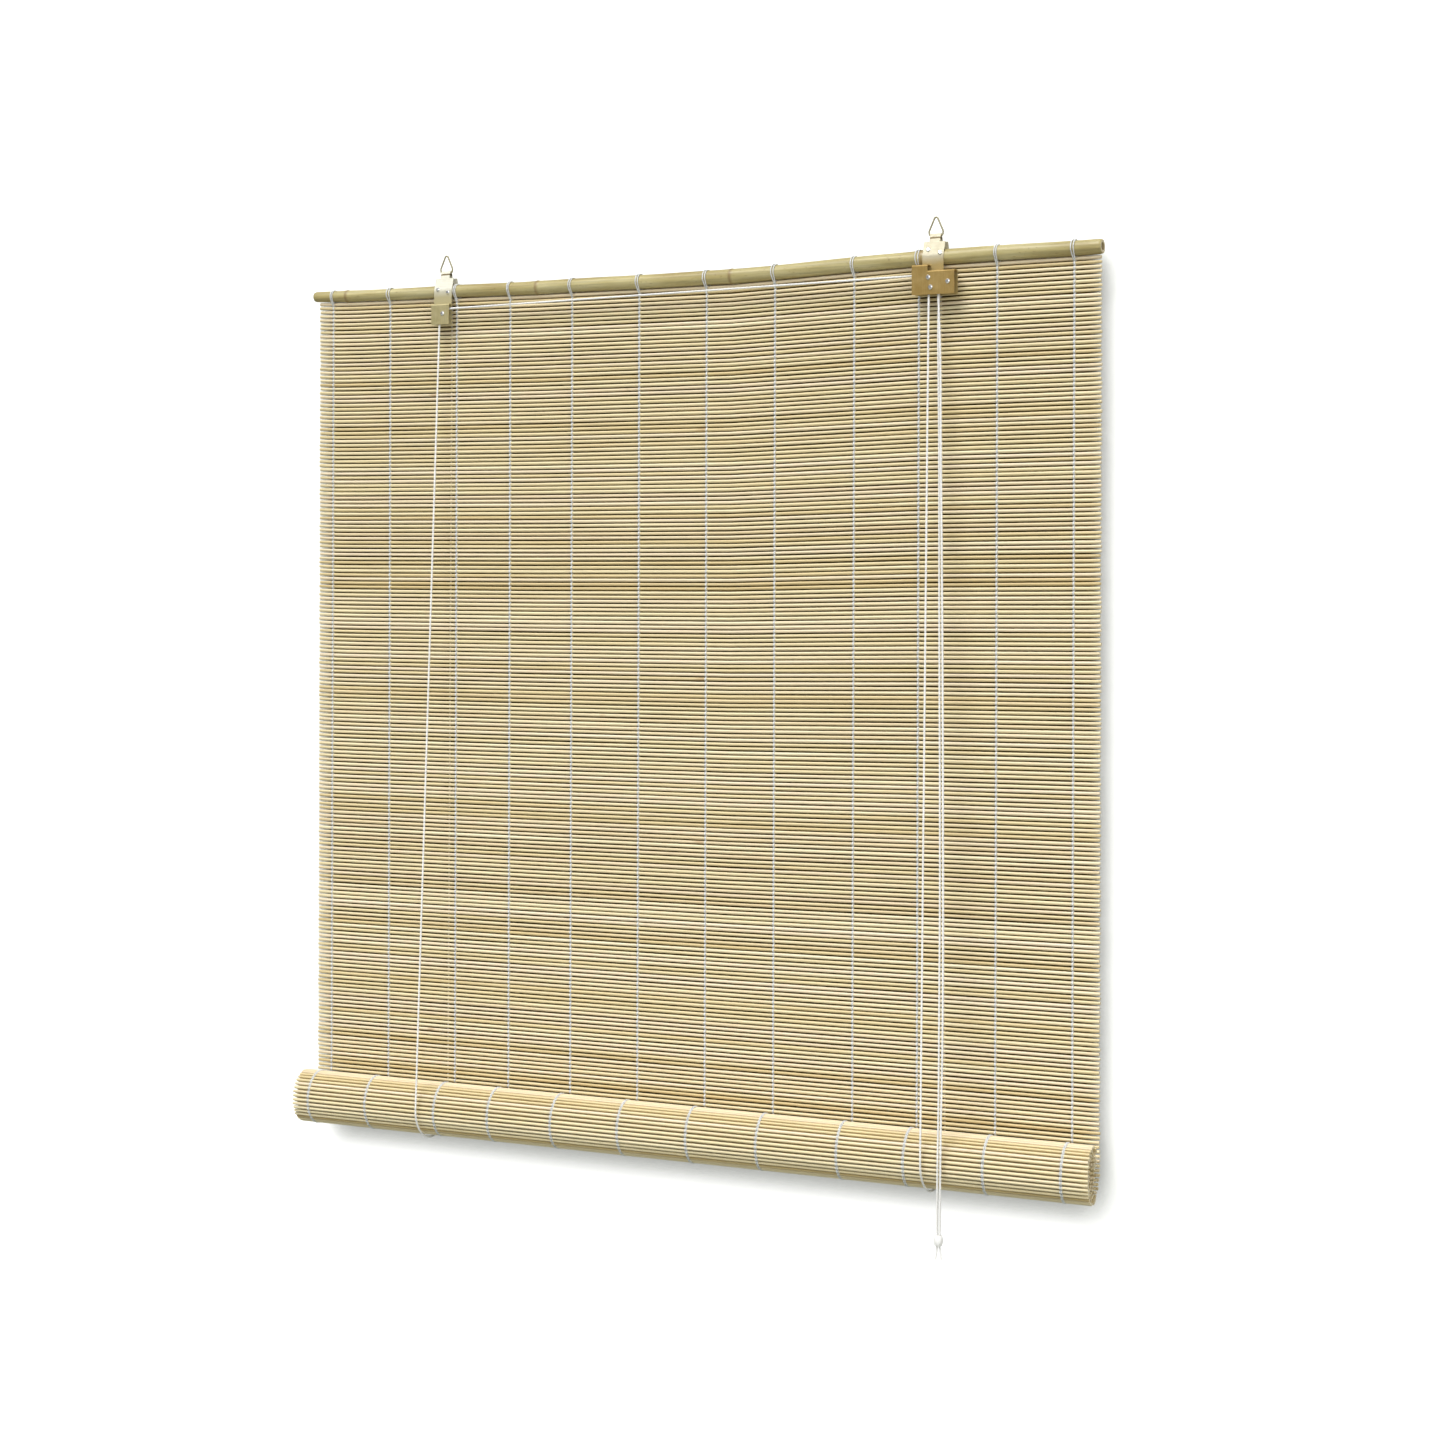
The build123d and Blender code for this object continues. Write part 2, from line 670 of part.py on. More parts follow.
left_middle = -left_face - CASE_INSIDE / 2
lock_middle = -lock_face - LOCK_INSIDE / 2
left_width = CASE_INSIDE - 2 * SIDE_GAP
lock_width = LOCK_INSIDE - 2 * SIDE_GAP
half_lane = LANE_SPACING / 2
rear_lane = lock_middle + half_lane
front_lane = lock_middle - half_lane
print("lanes", round(left_middle, 2), round(rear_lane, 2), round(front_lane, 2))

save(
    pulley(left_x, PULLEY_LEFT_Z, left_middle, left_width, 0, PULLEY_LEFT_PITCH),
    "pulley_left",
)
save(
    pulley(lock_x, UPPER_Z, lock_middle, lock_width, -half_lane, UPPER_PITCH),
    "pulley_lock_upper",
)
save(
    pulley(*lower_place, lock_middle, lock_width, half_lane, LOWER_PITCH),
    "pulley_lock_lower",
)

# Cam of the lock: a toothed nose that the cords drag up against the tongue
nose_x = locked_x + cord_radius + CAM_GAP - cam_place[0]
tooth_step = (CAM_NOSE_TOP - CAM_NOSE_FOOT) / CAM_TEETH
nose_face = []
for i in range(CAM_TEETH):
    tooth_top = CAM_NOSE_TOP - i * tooth_step
    nose_face += [(nose_x, tooth_top), (nose_x + CAM_TOOTH, tooth_top - 0.75 * tooth_step)]
with BuildPart() as lock_cam:
    with BuildSketch(front_plane(cam_place[0], lock_middle - lock_width / 2, cam_place[1])):
        Circle(CAM_HUB_RADIUS)
        with BuildLine():
            Polyline(
                *nose_face,
                (nose_x + CAM_TOOTH, CAM_NOSE_FOOT),
                (0.5 * nose_x, CAM_NOSE_FOOT + 1.6),
                (CAM_HUB_RADIUS * cos(radians(-20)), CAM_HUB_RADIUS * sin(radians(-20))),
                (0, 0),
                (CAM_HUB_RADIUS * cos(radians(150)), CAM_HUB_RADIUS * sin(radians(150))),
                close=True,
            )
        make_face()
        Circle(RIVET / 2 + RUNNING_GAP, mode=Mode.SUBTRACT)
    extrude(amount=-lock_width)
save(lock_cam.part, "lock_cam")


# Lift cords: each is tied to a rear lug, goes down behind the sheet, under the roll, up the front
# and over its pulleys into the lock


def cord(points, radii=()):
    """A round cord along straight runs joined by bends of the given radii."""
    with BuildPart() as length:
        with BuildLine() as run:
            if radii:
                FilletPolyline(*points, radius=radii)
            else:
                Line(*points)
        with BuildSketch(Plane(origin=run.line @ 0, z_dir=run.line % 0)):
            Circle(cord_radius)
        sweep()
    return length.part


def pulley_corner(x, z, pitch, start, end):
    """Where the straight runs either side of a cord's turn about a pulley would meet."""
    middle = radians((start + end) / 2)
    off = pitch / cos(radians((start - end) / 2))
    return x + off * cos(middle), z + off * sin(middle)


def take_off(y, z):
    """Turn about the roll at which a taut cord leaves it for a point higher up in front."""
    u = y - roll_y
    v = z - roll_z
    return 2 * pi - atan2(v, u) - acos(loop_radius / hypot(u, v))


def loop(x, end_turn):
    """The cord's turn under the roll, from the wall side to where it leaves the front."""
    with BuildPart() as turn_under:
        with BuildLine(Plane.YZ.offset(x)) as run:
            CenterArc((roll_y, roll_z), loop_radius, 0, -degrees(end_turn))
        with BuildSketch(Plane(origin=run.line @ 0, z_dir=run.line % 0)):
            Circle(cord_radius)
        sweep()
    return turn_under.part


def lift_cord(side, bracket_x, loop_x, corners, bends):
    """All the stretches of one lift cord, its corners being those over the pulleys."""
    lug_y, lug_z = lug_place(bracket_x)
    top = (bracket_x, lug_y, lug_z + STRAP_SHEET / 2 - CUT_GAP)
    foot = (loop_x, roll_y + loop_radius, roll_z + CUT_GAP)
    save(cord([top, foot]), f"lift_cord_{side}_back")
    _, first_y, first_z = corners[0]
    leave = take_off(first_y, first_z)
    save(loop(loop_x, leave), f"lift_cord_{side}_loop")
    start = Vector(
        loop_x,
        roll_y + loop_radius * cos(leave),
        roll_z - loop_radius * sin(leave),
    )
    run = Vector(*corners[0]) - start
    length = run.length
    along = run.normalized()
    seam = length * (1 - HEAD_SHARE)
    save(cord([start + along * CUT_GAP, start + along * seam]), f"lift_cord_{side}_front")
    head = [start + along * (seam + CUT_GAP), *corners]
    save(cord(head, bends), f"lift_cord_{side}_head")


exit_z = UPPER_Z + LOCK_FOOT - 0.5
left_corner = pulley_corner(left_x, PULLEY_LEFT_Z, PULLEY_LEFT_PITCH, 180, 90)
upper_corner = pulley_corner(lock_x, UPPER_Z, UPPER_PITCH, 90, 90 - UPPER_FEED_ANGLE)
lower_corner = pulley_corner(*lower_place, LOWER_PITCH, 180, 90 - LOWER_FEED_ANGLE)
upper_feed_z = upper_corner[1] - (locked_x - upper_corner[0]) * tan(radians(UPPER_FEED_ANGLE))
lower_feed_z = lower_corner[1] - (locked_x - lower_corner[0]) * tan(radians(LOWER_FEED_ANGLE))

lift_cord(
    "left",
    BRACKET_LEFT_X,
    LOOP_LEFT_X,
    [
        (left_corner[0], left_middle, left_corner[1]),
        (upper_corner[0], rear_lane, upper_corner[1]),
        (locked_x, rear_lane, upper_feed_z),
        (locked_x, rear_lane, exit_z),
    ],
    [PULLEY_LEFT_PITCH, UPPER_PITCH, FEED_BEND],
)
lift_cord(
    "right",
    BRACKET_RIGHT_X,
    LOOP_RIGHT_X,
    [
        (lower_corner[0], front_lane, lower_corner[1]),
        (locked_x, front_lane, lower_feed_z),
        (locked_x, front_lane, exit_z),
    ],
    [LOWER_PITCH, FEED_BEND],
)


# Knots that hold the lift cords on the rear lugs
def knot_body(x, y, z, waist, radius, height):
    """A round knot standing on the given point."""
    with BuildSketch(front_plane(x, y, z)) as half:
        with BuildLine():
            Polyline((waist, height), (0, height), (0, 0), (waist, 0))
            ThreePointArc((waist, 0), (radius, height / 2), (waist, height))
        make_face()
    revolve(half.sketch, axis=Axis((x, y, z), (0, 0, 1)))


with BuildPart() as tie_knots:
    for bracket_x in (BRACKET_LEFT_X, BRACKET_RIGHT_X):
        lug_y, lug_z = lug_place(bracket_x)
        knot_body(
            bracket_x, lug_y, lug_z + STRAP_SHEET / 2,
            TIE_KNOT_WAIST, TIE_KNOT_RADIUS, TIE_KNOT_HEIGHT,
        )
save(tie_knots.part, "tie_knots")


# Free ends of the lift cords


def free_cord(points):
    """A free cord: at each point a bend as wide as the shorter run beside it allows."""
    radii = []
    for before, here, after in zip(points, points[1:], points[2:]):
        run_in = Vector(*here) - Vector(*before)
        run_out = Vector(*after) - Vector(*here)
        half_turn = radians(run_in.get_angle(run_out)) / 2
        radii.append(BEND_SHARE * min(run_in.length, run_out.length) / tan(half_turn))
    print("bend radii", [round(r) for r in radii])
    return cord(points, radii)


out_z = exit_z - CUT_GAP
save(free_cord([(locked_x, rear_lane, out_z), *PULL_CORD_LEFT]), "pull_cord_left")
save(free_cord([(locked_x, front_lane, out_z), *PULL_CORD_RIGHT]), "pull_cord_right")

# Knot that joins the two free ends
knot_foot = PULL_CORD_LEFT[-1][2] - CUT_GAP - KNOT_HEIGHT
with BuildPart() as pull_knot:
    knot_body(*KNOT_AT, knot_foot, KNOT_WAIST, KNOT_RADIUS, KNOT_HEIGHT)
    for side in (-1, 1):
        start = Vector(KNOT_AT[0] + side * cord_radius, KNOT_AT[1], knot_foot + 1)
        end = start + Vector(side * KNOT_END_SPREAD, 0, -KNOT_END)
        with BuildSketch(Plane(origin=start, z_dir=end - start)):
            Circle(cord_radius)
        extrude(amount=KNOT_END)
save(pull_knot.part, "pull_knot")
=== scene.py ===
import json
import math
import random

import bpy
import numpy as np
from mathutils import Matrix, Vector

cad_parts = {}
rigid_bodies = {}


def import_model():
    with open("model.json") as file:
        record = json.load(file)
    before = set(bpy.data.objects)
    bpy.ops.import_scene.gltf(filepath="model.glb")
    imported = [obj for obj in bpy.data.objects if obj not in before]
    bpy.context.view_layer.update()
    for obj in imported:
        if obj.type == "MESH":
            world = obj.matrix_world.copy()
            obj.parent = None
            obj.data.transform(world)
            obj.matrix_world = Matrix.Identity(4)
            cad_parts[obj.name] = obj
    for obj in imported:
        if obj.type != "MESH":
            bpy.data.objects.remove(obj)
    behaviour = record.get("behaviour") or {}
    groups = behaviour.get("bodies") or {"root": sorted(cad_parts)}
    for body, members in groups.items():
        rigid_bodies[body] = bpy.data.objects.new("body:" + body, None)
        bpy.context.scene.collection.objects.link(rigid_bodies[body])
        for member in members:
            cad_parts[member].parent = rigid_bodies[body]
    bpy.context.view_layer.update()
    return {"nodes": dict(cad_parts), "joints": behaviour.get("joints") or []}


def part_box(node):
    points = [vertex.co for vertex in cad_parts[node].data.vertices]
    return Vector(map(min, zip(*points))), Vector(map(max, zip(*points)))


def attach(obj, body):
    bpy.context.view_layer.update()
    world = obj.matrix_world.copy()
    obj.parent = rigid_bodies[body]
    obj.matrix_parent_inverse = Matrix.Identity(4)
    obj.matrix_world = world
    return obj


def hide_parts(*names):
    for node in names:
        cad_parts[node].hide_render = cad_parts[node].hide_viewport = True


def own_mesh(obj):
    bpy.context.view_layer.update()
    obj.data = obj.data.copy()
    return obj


# Bamboo roll up blind, seen from the right. Everything is in metres, in the frame's own axes:
# +X along the slats, +Y towards the wall, +Z up.

MM = 0.001
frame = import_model()
nodes = frame["nodes"]
joint_at = {j["name"]: j["pos_m"] for j in frame["joints"] if "pos_m" in j}
rng = random.Random(20)

# Sheet
SLAT_PITCH = 4.88 * MM
SLAT_RADIUS = 1.85 * MM
HALF_SHEET = 500 * MM
SLATS_HELD = 24
SLATS_TAKEN_UP = 171
WARP_X = [x * MM for x in (-480, -397, -302.3, -228, -144, -55, 32, 118, 215, 292, 383, 470)]
SLAT_SIDES = 8
SLAT_STEPS = 32

# Head pole: (distance along it, height of its axis, diameter) at each end and node
POLE_RUN = [
    (-507, -42.0, 12.6),
    (-459, -43.5, 13.6),
    (-190, -46.5, 15.6),
    (64, -47.5, 16.6),
    (296.5, -39.8, 16.8),
    (501, -38.8, 16.2),
]

# Roll: a spiral of slats from WIND_RADIUS inwards to the foot pole
ROLL_Y, ROLL_Z = joint_at["roll_spin"][1:]
WIND_RADIUS = 31.75 * MM
WIND_PITCH = 4.3 * MM
FIRST_TURN = -math.asin(2.6 / 31.75)
CORE_RADIUS = 8.3 * MM
LEAN = 8 * MM

# Cords, and the control points of the two free ends in mm
CORD_RADIUS = 1.1 * MM
CORD_LAY = 14 * MM
PULL_CORD_LEFT = [
    (320.4, -12.35, -82.85),
    (319.8, -13.3, -101.0),
    (320.8, -16.1, -147.0),
    (324.6, -21.5, -247.0),
    (330.1, -33.7, -447.0),
    (337.7, -47.9, -690.0),
    (341.8, -60.0, -880.0),
    (343.6, -65.8, -965.0),
    (343.2, -68.0, -1022.0),
    (343.5, -67.9, -1086.0),
]
PULL_CORD_RIGHT = [
    (320.4, -15.65, -82.85),
    (321.6, -16.3, -101.0),
    (324.5, -18.4, -147.0),
    (327.6, -24.6, -247.0),
    (334.6, -35.5, -447.0),
    (342.0, -50.2, -690.0),
    (346.6, -61.4, -880.0),
    (347.0, -67.2, -965.0),
    (347.3, -69.3, -1022.0),
    (346.6, -68.9, -1086.0),
]


# Meshes


def piece(name, verts, faces, materials, body, face_material):
    """A smooth mesh object that rides on a body."""
    mesh = bpy.data.meshes.new(name)
    mesh.from_pydata([tuple(v) for v in verts], [], faces)
    for material in materials:
        mesh.materials.append(material)
    mesh.polygons.foreach_set("material_index", face_material)
    mesh.polygons.foreach_set("use_smooth", [True] * len(faces))
    mesh.update()
    obj = bpy.data.objects.new(name, mesh)
    bpy.context.scene.collection.objects.link(obj)
    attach(obj, body)
    return obj


class Build:
    """Vertices, faces and per vertex tones of one piece, added tube by tube."""

    def __init__(self):
        self.verts = []
        self.faces = []
        self.material = []
        self.tone = []
        self.tint = []

    def rings(self, rings, tone=0.5, tint=0.5, closed=False, cap_material=0):
        """Join a run of equal rings of points into a tube, capped unless it closes on itself."""
        first = len(self.verts)
        count = len(rings)
        sides = len(rings[0])
        for ring in rings:
            self.verts.extend(ring)
        self.tone.extend([tone] * count * sides)
        self.tint.extend([tint] * count * sides)
        for i in range(count if closed else count - 1):
            here = first + i * sides
            there = first + ((i + 1) % count) * sides
            for k in range(sides):
                n = (k + 1) % sides
                self.faces.append((here + k, here + n, there + n, there + k))
                self.material.append(0)
        if not closed:
            for ring, flip in ((rings[0], True), (rings[-1], False)):
                start = len(self.verts)
                self.verts.extend(ring)
                self.tone.extend([tone] * sides)
                self.tint.extend([tint] * sides)
                order = range(start, start + sides)
                self.faces.append(tuple(reversed(order)) if flip else tuple(order))
                self.material.append(cap_material)

    def done(self, name, materials, body):
        obj = piece(name, self.verts, self.faces, materials, body, self.material)
        for label, values in (("tone", self.tone), ("tint", self.tint)):
            attribute = obj.data.attributes.new(label, "FLOAT", "POINT")
            attribute.data.foreach_set("value", values)
        return obj


def sweep(points, section, twist=0.0, closed=False, across=(1, 0, 0)):
    """Rings of a section carried along points, turned by twist radians a metre."""
    points = [np.array(p, float) for p in points]
    count = len(points)
    rings = []
    side = np.array(across, float)
    travelled = 0.0
    for i, here in enumerate(points):
        before = points[i - 1] if (i or closed) else here
        after = points[(i + 1) % count] if (i < count - 1 or closed) else here
        along = after - before
        along /= np.linalg.norm(along)
        side = side - along * side.dot(along)
        side /= np.linalg.norm(side)
        up = np.cross(along, side)
        if i:
            travelled += np.linalg.norm(here - points[i - 1])
        turn = twist * travelled
        c, s = math.cos(turn), math.sin(turn)
        ring = []
        for u, v in section:
            ring.append(tuple(here + side * (u * c - v * s) + up * (u * s + v * c)))
        rings.append(ring)
    return rings


def angles(sides, turn=0.0):
    return [2 * math.pi * (k + turn) / sides for k in range(sides)]


def circle(x, y, z, radius, sides, turn=0.0):
    """A ring of points about a line along x."""
    return [
        (x, y + radius * math.cos(a), z + radius * math.sin(a)) for a in angles(sides, turn)
    ]


def ellipse(a, b, sides):
    return [(a * math.cos(t), b * math.sin(t)) for t in angles(sides)]


def rope(radius, strands=3, sides=9, depth=0.16):
    """Section of a laid cord: round with a shallow dip between its strands."""
    section = []
    for a in angles(sides):
        out = radius * (1 - depth * (0.5 - 0.5 * math.cos(strands * a)))
        section.append((out * math.cos(a), out * math.sin(a)))
    return section


def even_points(points, step):
    """The same line with its points a step apart."""
    points = [np.array(p, float) for p in points]
    lengths = [0.0]
    for a, b in zip(points, points[1:]):
        lengths.append(lengths[-1] + np.linalg.norm(b - a))
    count = max(2, int(round(lengths[-1] / step)) + 1)
    wanted = np.linspace(0, lengths[-1], count)
    line = np.array(points)
    return [tuple(np.interp(w, lengths, line[:, k]) for k in range(3)) for w in wanted]


# Materials


def shader(name, roughness, metallic=0.0, specular=0.5):
    material = bpy.data.materials.new(name)
    material.use_nodes = True
    tree = material.node_tree
    bsdf = tree.nodes["Principled BSDF"]
    bsdf.inputs["Roughness"].default_value = roughness
    bsdf.inputs["Metallic"].default_value = metallic
    bsdf.inputs["Specular IOR Level"].default_value = specular
    return material, tree, bsdf


def node(tree, kind, inputs=(), **settings):
    """A new node. Each input takes a number, a colour or another node's output."""
    made = tree.nodes.new(kind)
    for key, value in settings.items():
        setattr(made, key, value)
    for key, value in dict(inputs).items():
        if isinstance(value, bpy.types.NodeSocket):
            tree.links.new(value, made.inputs[key])
        else:
            made.inputs[key].default_value = value
    return made


def maths(tree, operation, *values, use_clamp=False):
    """The output of a math node over one to three values or outputs."""
    return node(
        tree,
        "ShaderNodeMath",
        dict(enumerate(values)),
        operation=operation,
        use_clamp=use_clamp,
    ).outputs[0]


def map_range(tree, value, low, high, to=(0.0, 1.0)):
    """The value's place between low and high, kept between the two ends of to."""
    ends = {"From Min": low, "From Max": high, "To Min": to[0], "To Max": to[1]}
    return node(tree, "ShaderNodeMapRange", {"Value": value, **ends}).outputs[0]


def object_coords(tree):
    return node(tree, "ShaderNodeTexCoord").outputs["Object"]


def object_axes(tree):
    """Object coordinates as three outputs, X, Y and Z."""
    return node(tree, "ShaderNodeSeparateXYZ", {"Vector": object_coords(tree)}).outputs


def place(tree, scale):
    """Object coordinates stretched by the scale along each axis."""
    return node(
        tree, "ShaderNodeMapping", {"Vector": object_coords(tree), "Scale": scale}
    ).outputs[0]


def noise_at(tree, where, detail, rough):
    inputs = {"Vector": where, "Scale": 1.0, "Detail": detail, "Roughness": rough}
    return node(tree, "ShaderNodeTexNoise", inputs).outputs["Fac"]


def noise(tree, scale, detail=3.0, rough=0.6):
    return noise_at(tree, place(tree, scale), detail, rough)


def ramp(tree, value, stops):
    """A colour ramp. Each stop is (place, grey or colour)."""
    made = node(tree, "ShaderNodeValToRGB", {"Fac": value})
    stops = [(at, (*c, 1) if isinstance(c, tuple) else (c, c, c, 1)) for at, c in stops]
    made.color_ramp.elements[0].position, made.color_ramp.elements[0].color = stops[0]
    made.color_ramp.elements[1].position, made.color_ramp.elements[1].color = stops[-1]
    for at, c in stops[1:-1]:
        made.color_ramp.elements.new(at).color = c
    return made.outputs["Color"]


def mix(tree, share, a, b, kind="MIX"):
    """Colour a with the share of colour b."""
    made = node(tree, "ShaderNodeMix", data_type="RGBA", blend_type=kind)
    for key, value in ((0, share), (6, a), (7, b)):
        if isinstance(value, bpy.types.NodeSocket):
            tree.links.new(value, made.inputs[key])
        elif isinstance(value, tuple):
            made.inputs[key].default_value = (*value, 1)
        else:
            made.inputs[key].default_value = value
    return made.outputs[2]


def bump(tree, bsdf, height, distance, strength):
    inputs = {"Height": height, "Distance": distance, "Strength": strength}
    made = node(tree, "ShaderNodeBump", inputs)
    tree.links.new(made.outputs[0], bsdf.inputs["Normal"])


def attribute(tree, name):
    return node(tree, "ShaderNodeAttribute", attribute_name=name).outputs["Fac"]


def slat_material():
    """Split bamboo. Each slat has its own tone, drifts along its length and has a few scars."""
    material, tree, bsdf = shader("bamboo_slat", roughness=0.5, specular=0.55)
    tone = attribute(tree, "tone")
    own_row = maths(tree, "MULTIPLY", tone, 91.0)
    stretch = maths(tree, "MULTIPLY", object_axes(tree)["X"], 5.0)
    along = node(tree, "ShaderNodeCombineXYZ", {"X": stretch, "Y": own_row}).outputs[0]
    drift = noise_at(tree, along, 2.0, 0.5)
    spots_at = node(tree, "ShaderNodeMapping", {"Vector": along, "Scale": (5.0, 3.0, 1.0)})
    spots = noise_at(tree, spots_at.outputs[0], 1.0, 0.5)
    grain = noise(tree, (14, 1500, 1500), 3.0, 0.65)
    shift = maths(tree, "MULTIPLY_ADD", drift, 0.34, -0.17)
    shade = maths(tree, "ADD", tone, shift, use_clamp=True)
    color = ramp(
        tree,
        shade,
        [
            (0.0, (0.44, 0.28, 0.10)),
            (0.25, (0.64, 0.49, 0.23)),
            (0.5, (0.76, 0.635, 0.365)),
            (0.75, (0.85, 0.745, 0.49)),
            (1.0, (0.92, 0.86, 0.68)),
        ],
    )
    warm = ramp(tree, attribute(tree, "tint"), [(0.45, 0.0), (1.0, 0.65)])
    color = mix(tree, warm, color, (0.87, 0.73, 0.55))
    color = mix(tree, 1.0, color, ramp(tree, grain, [(0.3, 0.86), (0.62, 1.03)]), "MULTIPLY")
    scar = ramp(tree, spots, [(0.76, 0.0), (0.82, 0.5)])
    color = mix(tree, scar, color, (0.42, 0.25, 0.10))
    tree.links.new(color, bsdf.inputs["Base Color"])
    tree.links.new(ramp(tree, grain, [(0.3, 0.52), (0.7, 0.34)]), bsdf.inputs["Roughness"])
    bump(tree, bsdf, grain, 0.05 * MM, 0.5)
    return material


def slat_end_material():
    """Cut bamboo, on the slats' ends, the pole's ends and its bore."""
    material, tree, bsdf = shader("bamboo_slat_end", roughness=0.75, specular=0.25)
    fibres = noise(tree, (2600, 2600, 2600), 2.0, 0.6)
    tones = [(0.2, (0.70, 0.56, 0.33)), (0.9, (0.95, 0.88, 0.70))]
    color = ramp(tree, attribute(tree, "tone"), tones)
    color = mix(tree, 1.0, color, ramp(tree, fibres, [(0.35, 0.82), (0.62, 1.04)]), "MULTIPLY")
    tree.links.new(color, bsdf.inputs["Base Color"])
    bump(tree, bsdf, fibres, 0.1 * MM, 0.6)
    return material


def pole_material():
    """Whole bamboo, darker at its nodes, where the tone is 1."""
    material, tree, bsdf = shader("bamboo_pole", roughness=0.36, specular=0.5)
    patches = noise(tree, (9, 60, 60), 4.0, 0.6)
    streaks = noise(tree, (7, 420, 420), 3.0, 0.6)
    specks = noise(tree, (160, 700, 700), 2.0, 0.5)
    color = ramp(
        tree,
        patches,
        [(0.30, (0.35, 0.27, 0.10)), (0.5, (0.47, 0.40, 0.18)), (0.70, (0.57, 0.51, 0.28))],
    )
    color = mix(tree, 1.0, color, ramp(tree, streaks, [(0.3, 0.78), (0.65, 1.10)]), "MULTIPLY")
    speck = ramp(tree, specks, [(0.66, 0.0), (0.72, 0.5)])
    color = mix(tree, speck, color, (0.20, 0.12, 0.05))
    node_ring = ramp(tree, attribute(tree, "tone"), [(0.35, 0.0), (1.0, 0.75)])
    color = mix(tree, node_ring, color, (0.24, 0.15, 0.06))
    tree.links.new(color, bsdf.inputs["Base Color"])
    tree.links.new(ramp(tree, streaks, [(0.3, 0.48), (0.7, 0.30)]), bsdf.inputs["Roughness"])
    bump(tree, bsdf, streaks, 0.15 * MM, 0.5)
    return material


def thread_material():
    material, tree, bsdf = shader("warp_thread", roughness=0.75, specular=0.25)
    twist = node(
        tree,
        "ShaderNodeTexWave",
        {"Vector": place(tree, (1, 1, 1)), "Scale": 330.0, "Distortion": 1.5, "Detail": 1.0},
        wave_type="BANDS",
        bands_direction="DIAGONAL",
    ).outputs["Fac"]
    fuzz = noise(tree, (900, 900, 900), 3.0, 0.7)
    color = ramp(tree, twist, [(0.1, (0.56, 0.57, 0.57)), (0.6, (0.83, 0.84, 0.83))])
    color = mix(tree, 1.0, color, ramp(tree, fuzz, [(0.3, 0.85), (0.7, 1.08)]), "MULTIPLY")
    tree.links.new(color, bsdf.inputs["Base Color"])
    bump(tree, bsdf, twist, 0.15 * MM, 0.7)
    return material


def cord_material():
    material, tree, bsdf = shader("laid_cord", roughness=0.7, specular=0.3)
    bsdf.inputs["Sheen Weight"].default_value = 0.25
    fibres = noise(tree, (1500, 1500, 500), 3.0, 0.7)
    soil = noise(tree, (20, 20, 12), 2.0, 0.6)
    color = ramp(tree, fibres, [(0.3, (0.86, 0.85, 0.83)), (0.65, (0.97, 0.965, 0.95))])
    color = mix(tree, ramp(tree, soil, [(0.5, 0.0), (0.8, 0.25)]), color, (0.66, 0.62, 0.52))
    tree.links.new(color, bsdf.inputs["Base Color"])
    bump(tree, bsdf, fibres, 0.12 * MM, 0.6)
    return material


def metal_material(name, low, high, roughness, brush, metallic=1.0, spread=0.12, painted_shade=None):
    """Sheet or wire: a tone that drifts from low to high, with fine lines and scratches.

    brush is the scale of the lines along each axis, and spread how much rougher the scratches are.
    painted_shade, when given, paints shade below a bend and a shadow line in a crease.
    """
    material, tree, bsdf = shader(name, roughness=roughness, metallic=metallic)
    lines = noise(tree, brush, 3.0, 0.7)
    drift = noise(tree, (70, 70, 70), 3.0, 0.6)
    scratches = noise(tree, (900, 260, 900), 2.0, 0.6)
    color = ramp(tree, drift, [(0.3, low), (0.7, high)])
    color = mix(tree, 1.0, color, ramp(tree, lines, [(0.3, 0.90), (0.7, 1.06)]), "MULTIPLY")
    if painted_shade:
        # Painted shade: a darker tone below the bend over the pole, and a painted shadow line in
        # the crease under the rolled eye
        painted_shade_tone, bend_z, crease_z = painted_shade
        unevenness = maths(tree, "MULTIPLY_ADD", drift, 4 * MM, -2 * MM)
        height = maths(tree, "ADD", object_axes(tree)["Z"], unevenness)
        below = map_range(tree, height, bend_z + 2 * MM, bend_z - 9 * MM)
        color = mix(tree, below, color, painted_shade_tone)
        off = maths(tree, "ABSOLUTE", maths(tree, "ADD", height, -crease_z))
        # Painted shadow line under the rolled eye
        crease_shadow = map_range(tree, off, 1.3 * MM, 0.7 * MM, (0.0, 0.95))
        color = mix(tree, crease_shadow, color, (0.16, 0.11, 0.04))
    tree.links.new(color, bsdf.inputs["Base Color"])
    scratched = ramp(tree, scratches, [(0.35, roughness + spread), (0.65, roughness)])
    tree.links.new(scratched, bsdf.inputs["Roughness"])
    bump(tree, bsdf, lines, 0.05 * MM, 0.5)
    return material


slat_wood = slat_material()
slat_end = slat_end_material()
pole_wood = pole_material()
thread = thread_material()
cord_white = cord_material()

# Lines run up the straps and wheels, and along the two cases
UPRIGHT, LENGTHWISE, ALL_WAYS = (40, 40, 900), (900, 40, 40), (500, 500, 500)


def strap_material(side, low, high, painted_shade):
    name = f"strap_brass_{side}"
    return metal_material(name, low, high, 0.50, UPRIGHT, 0.3, painted_shade=painted_shade)
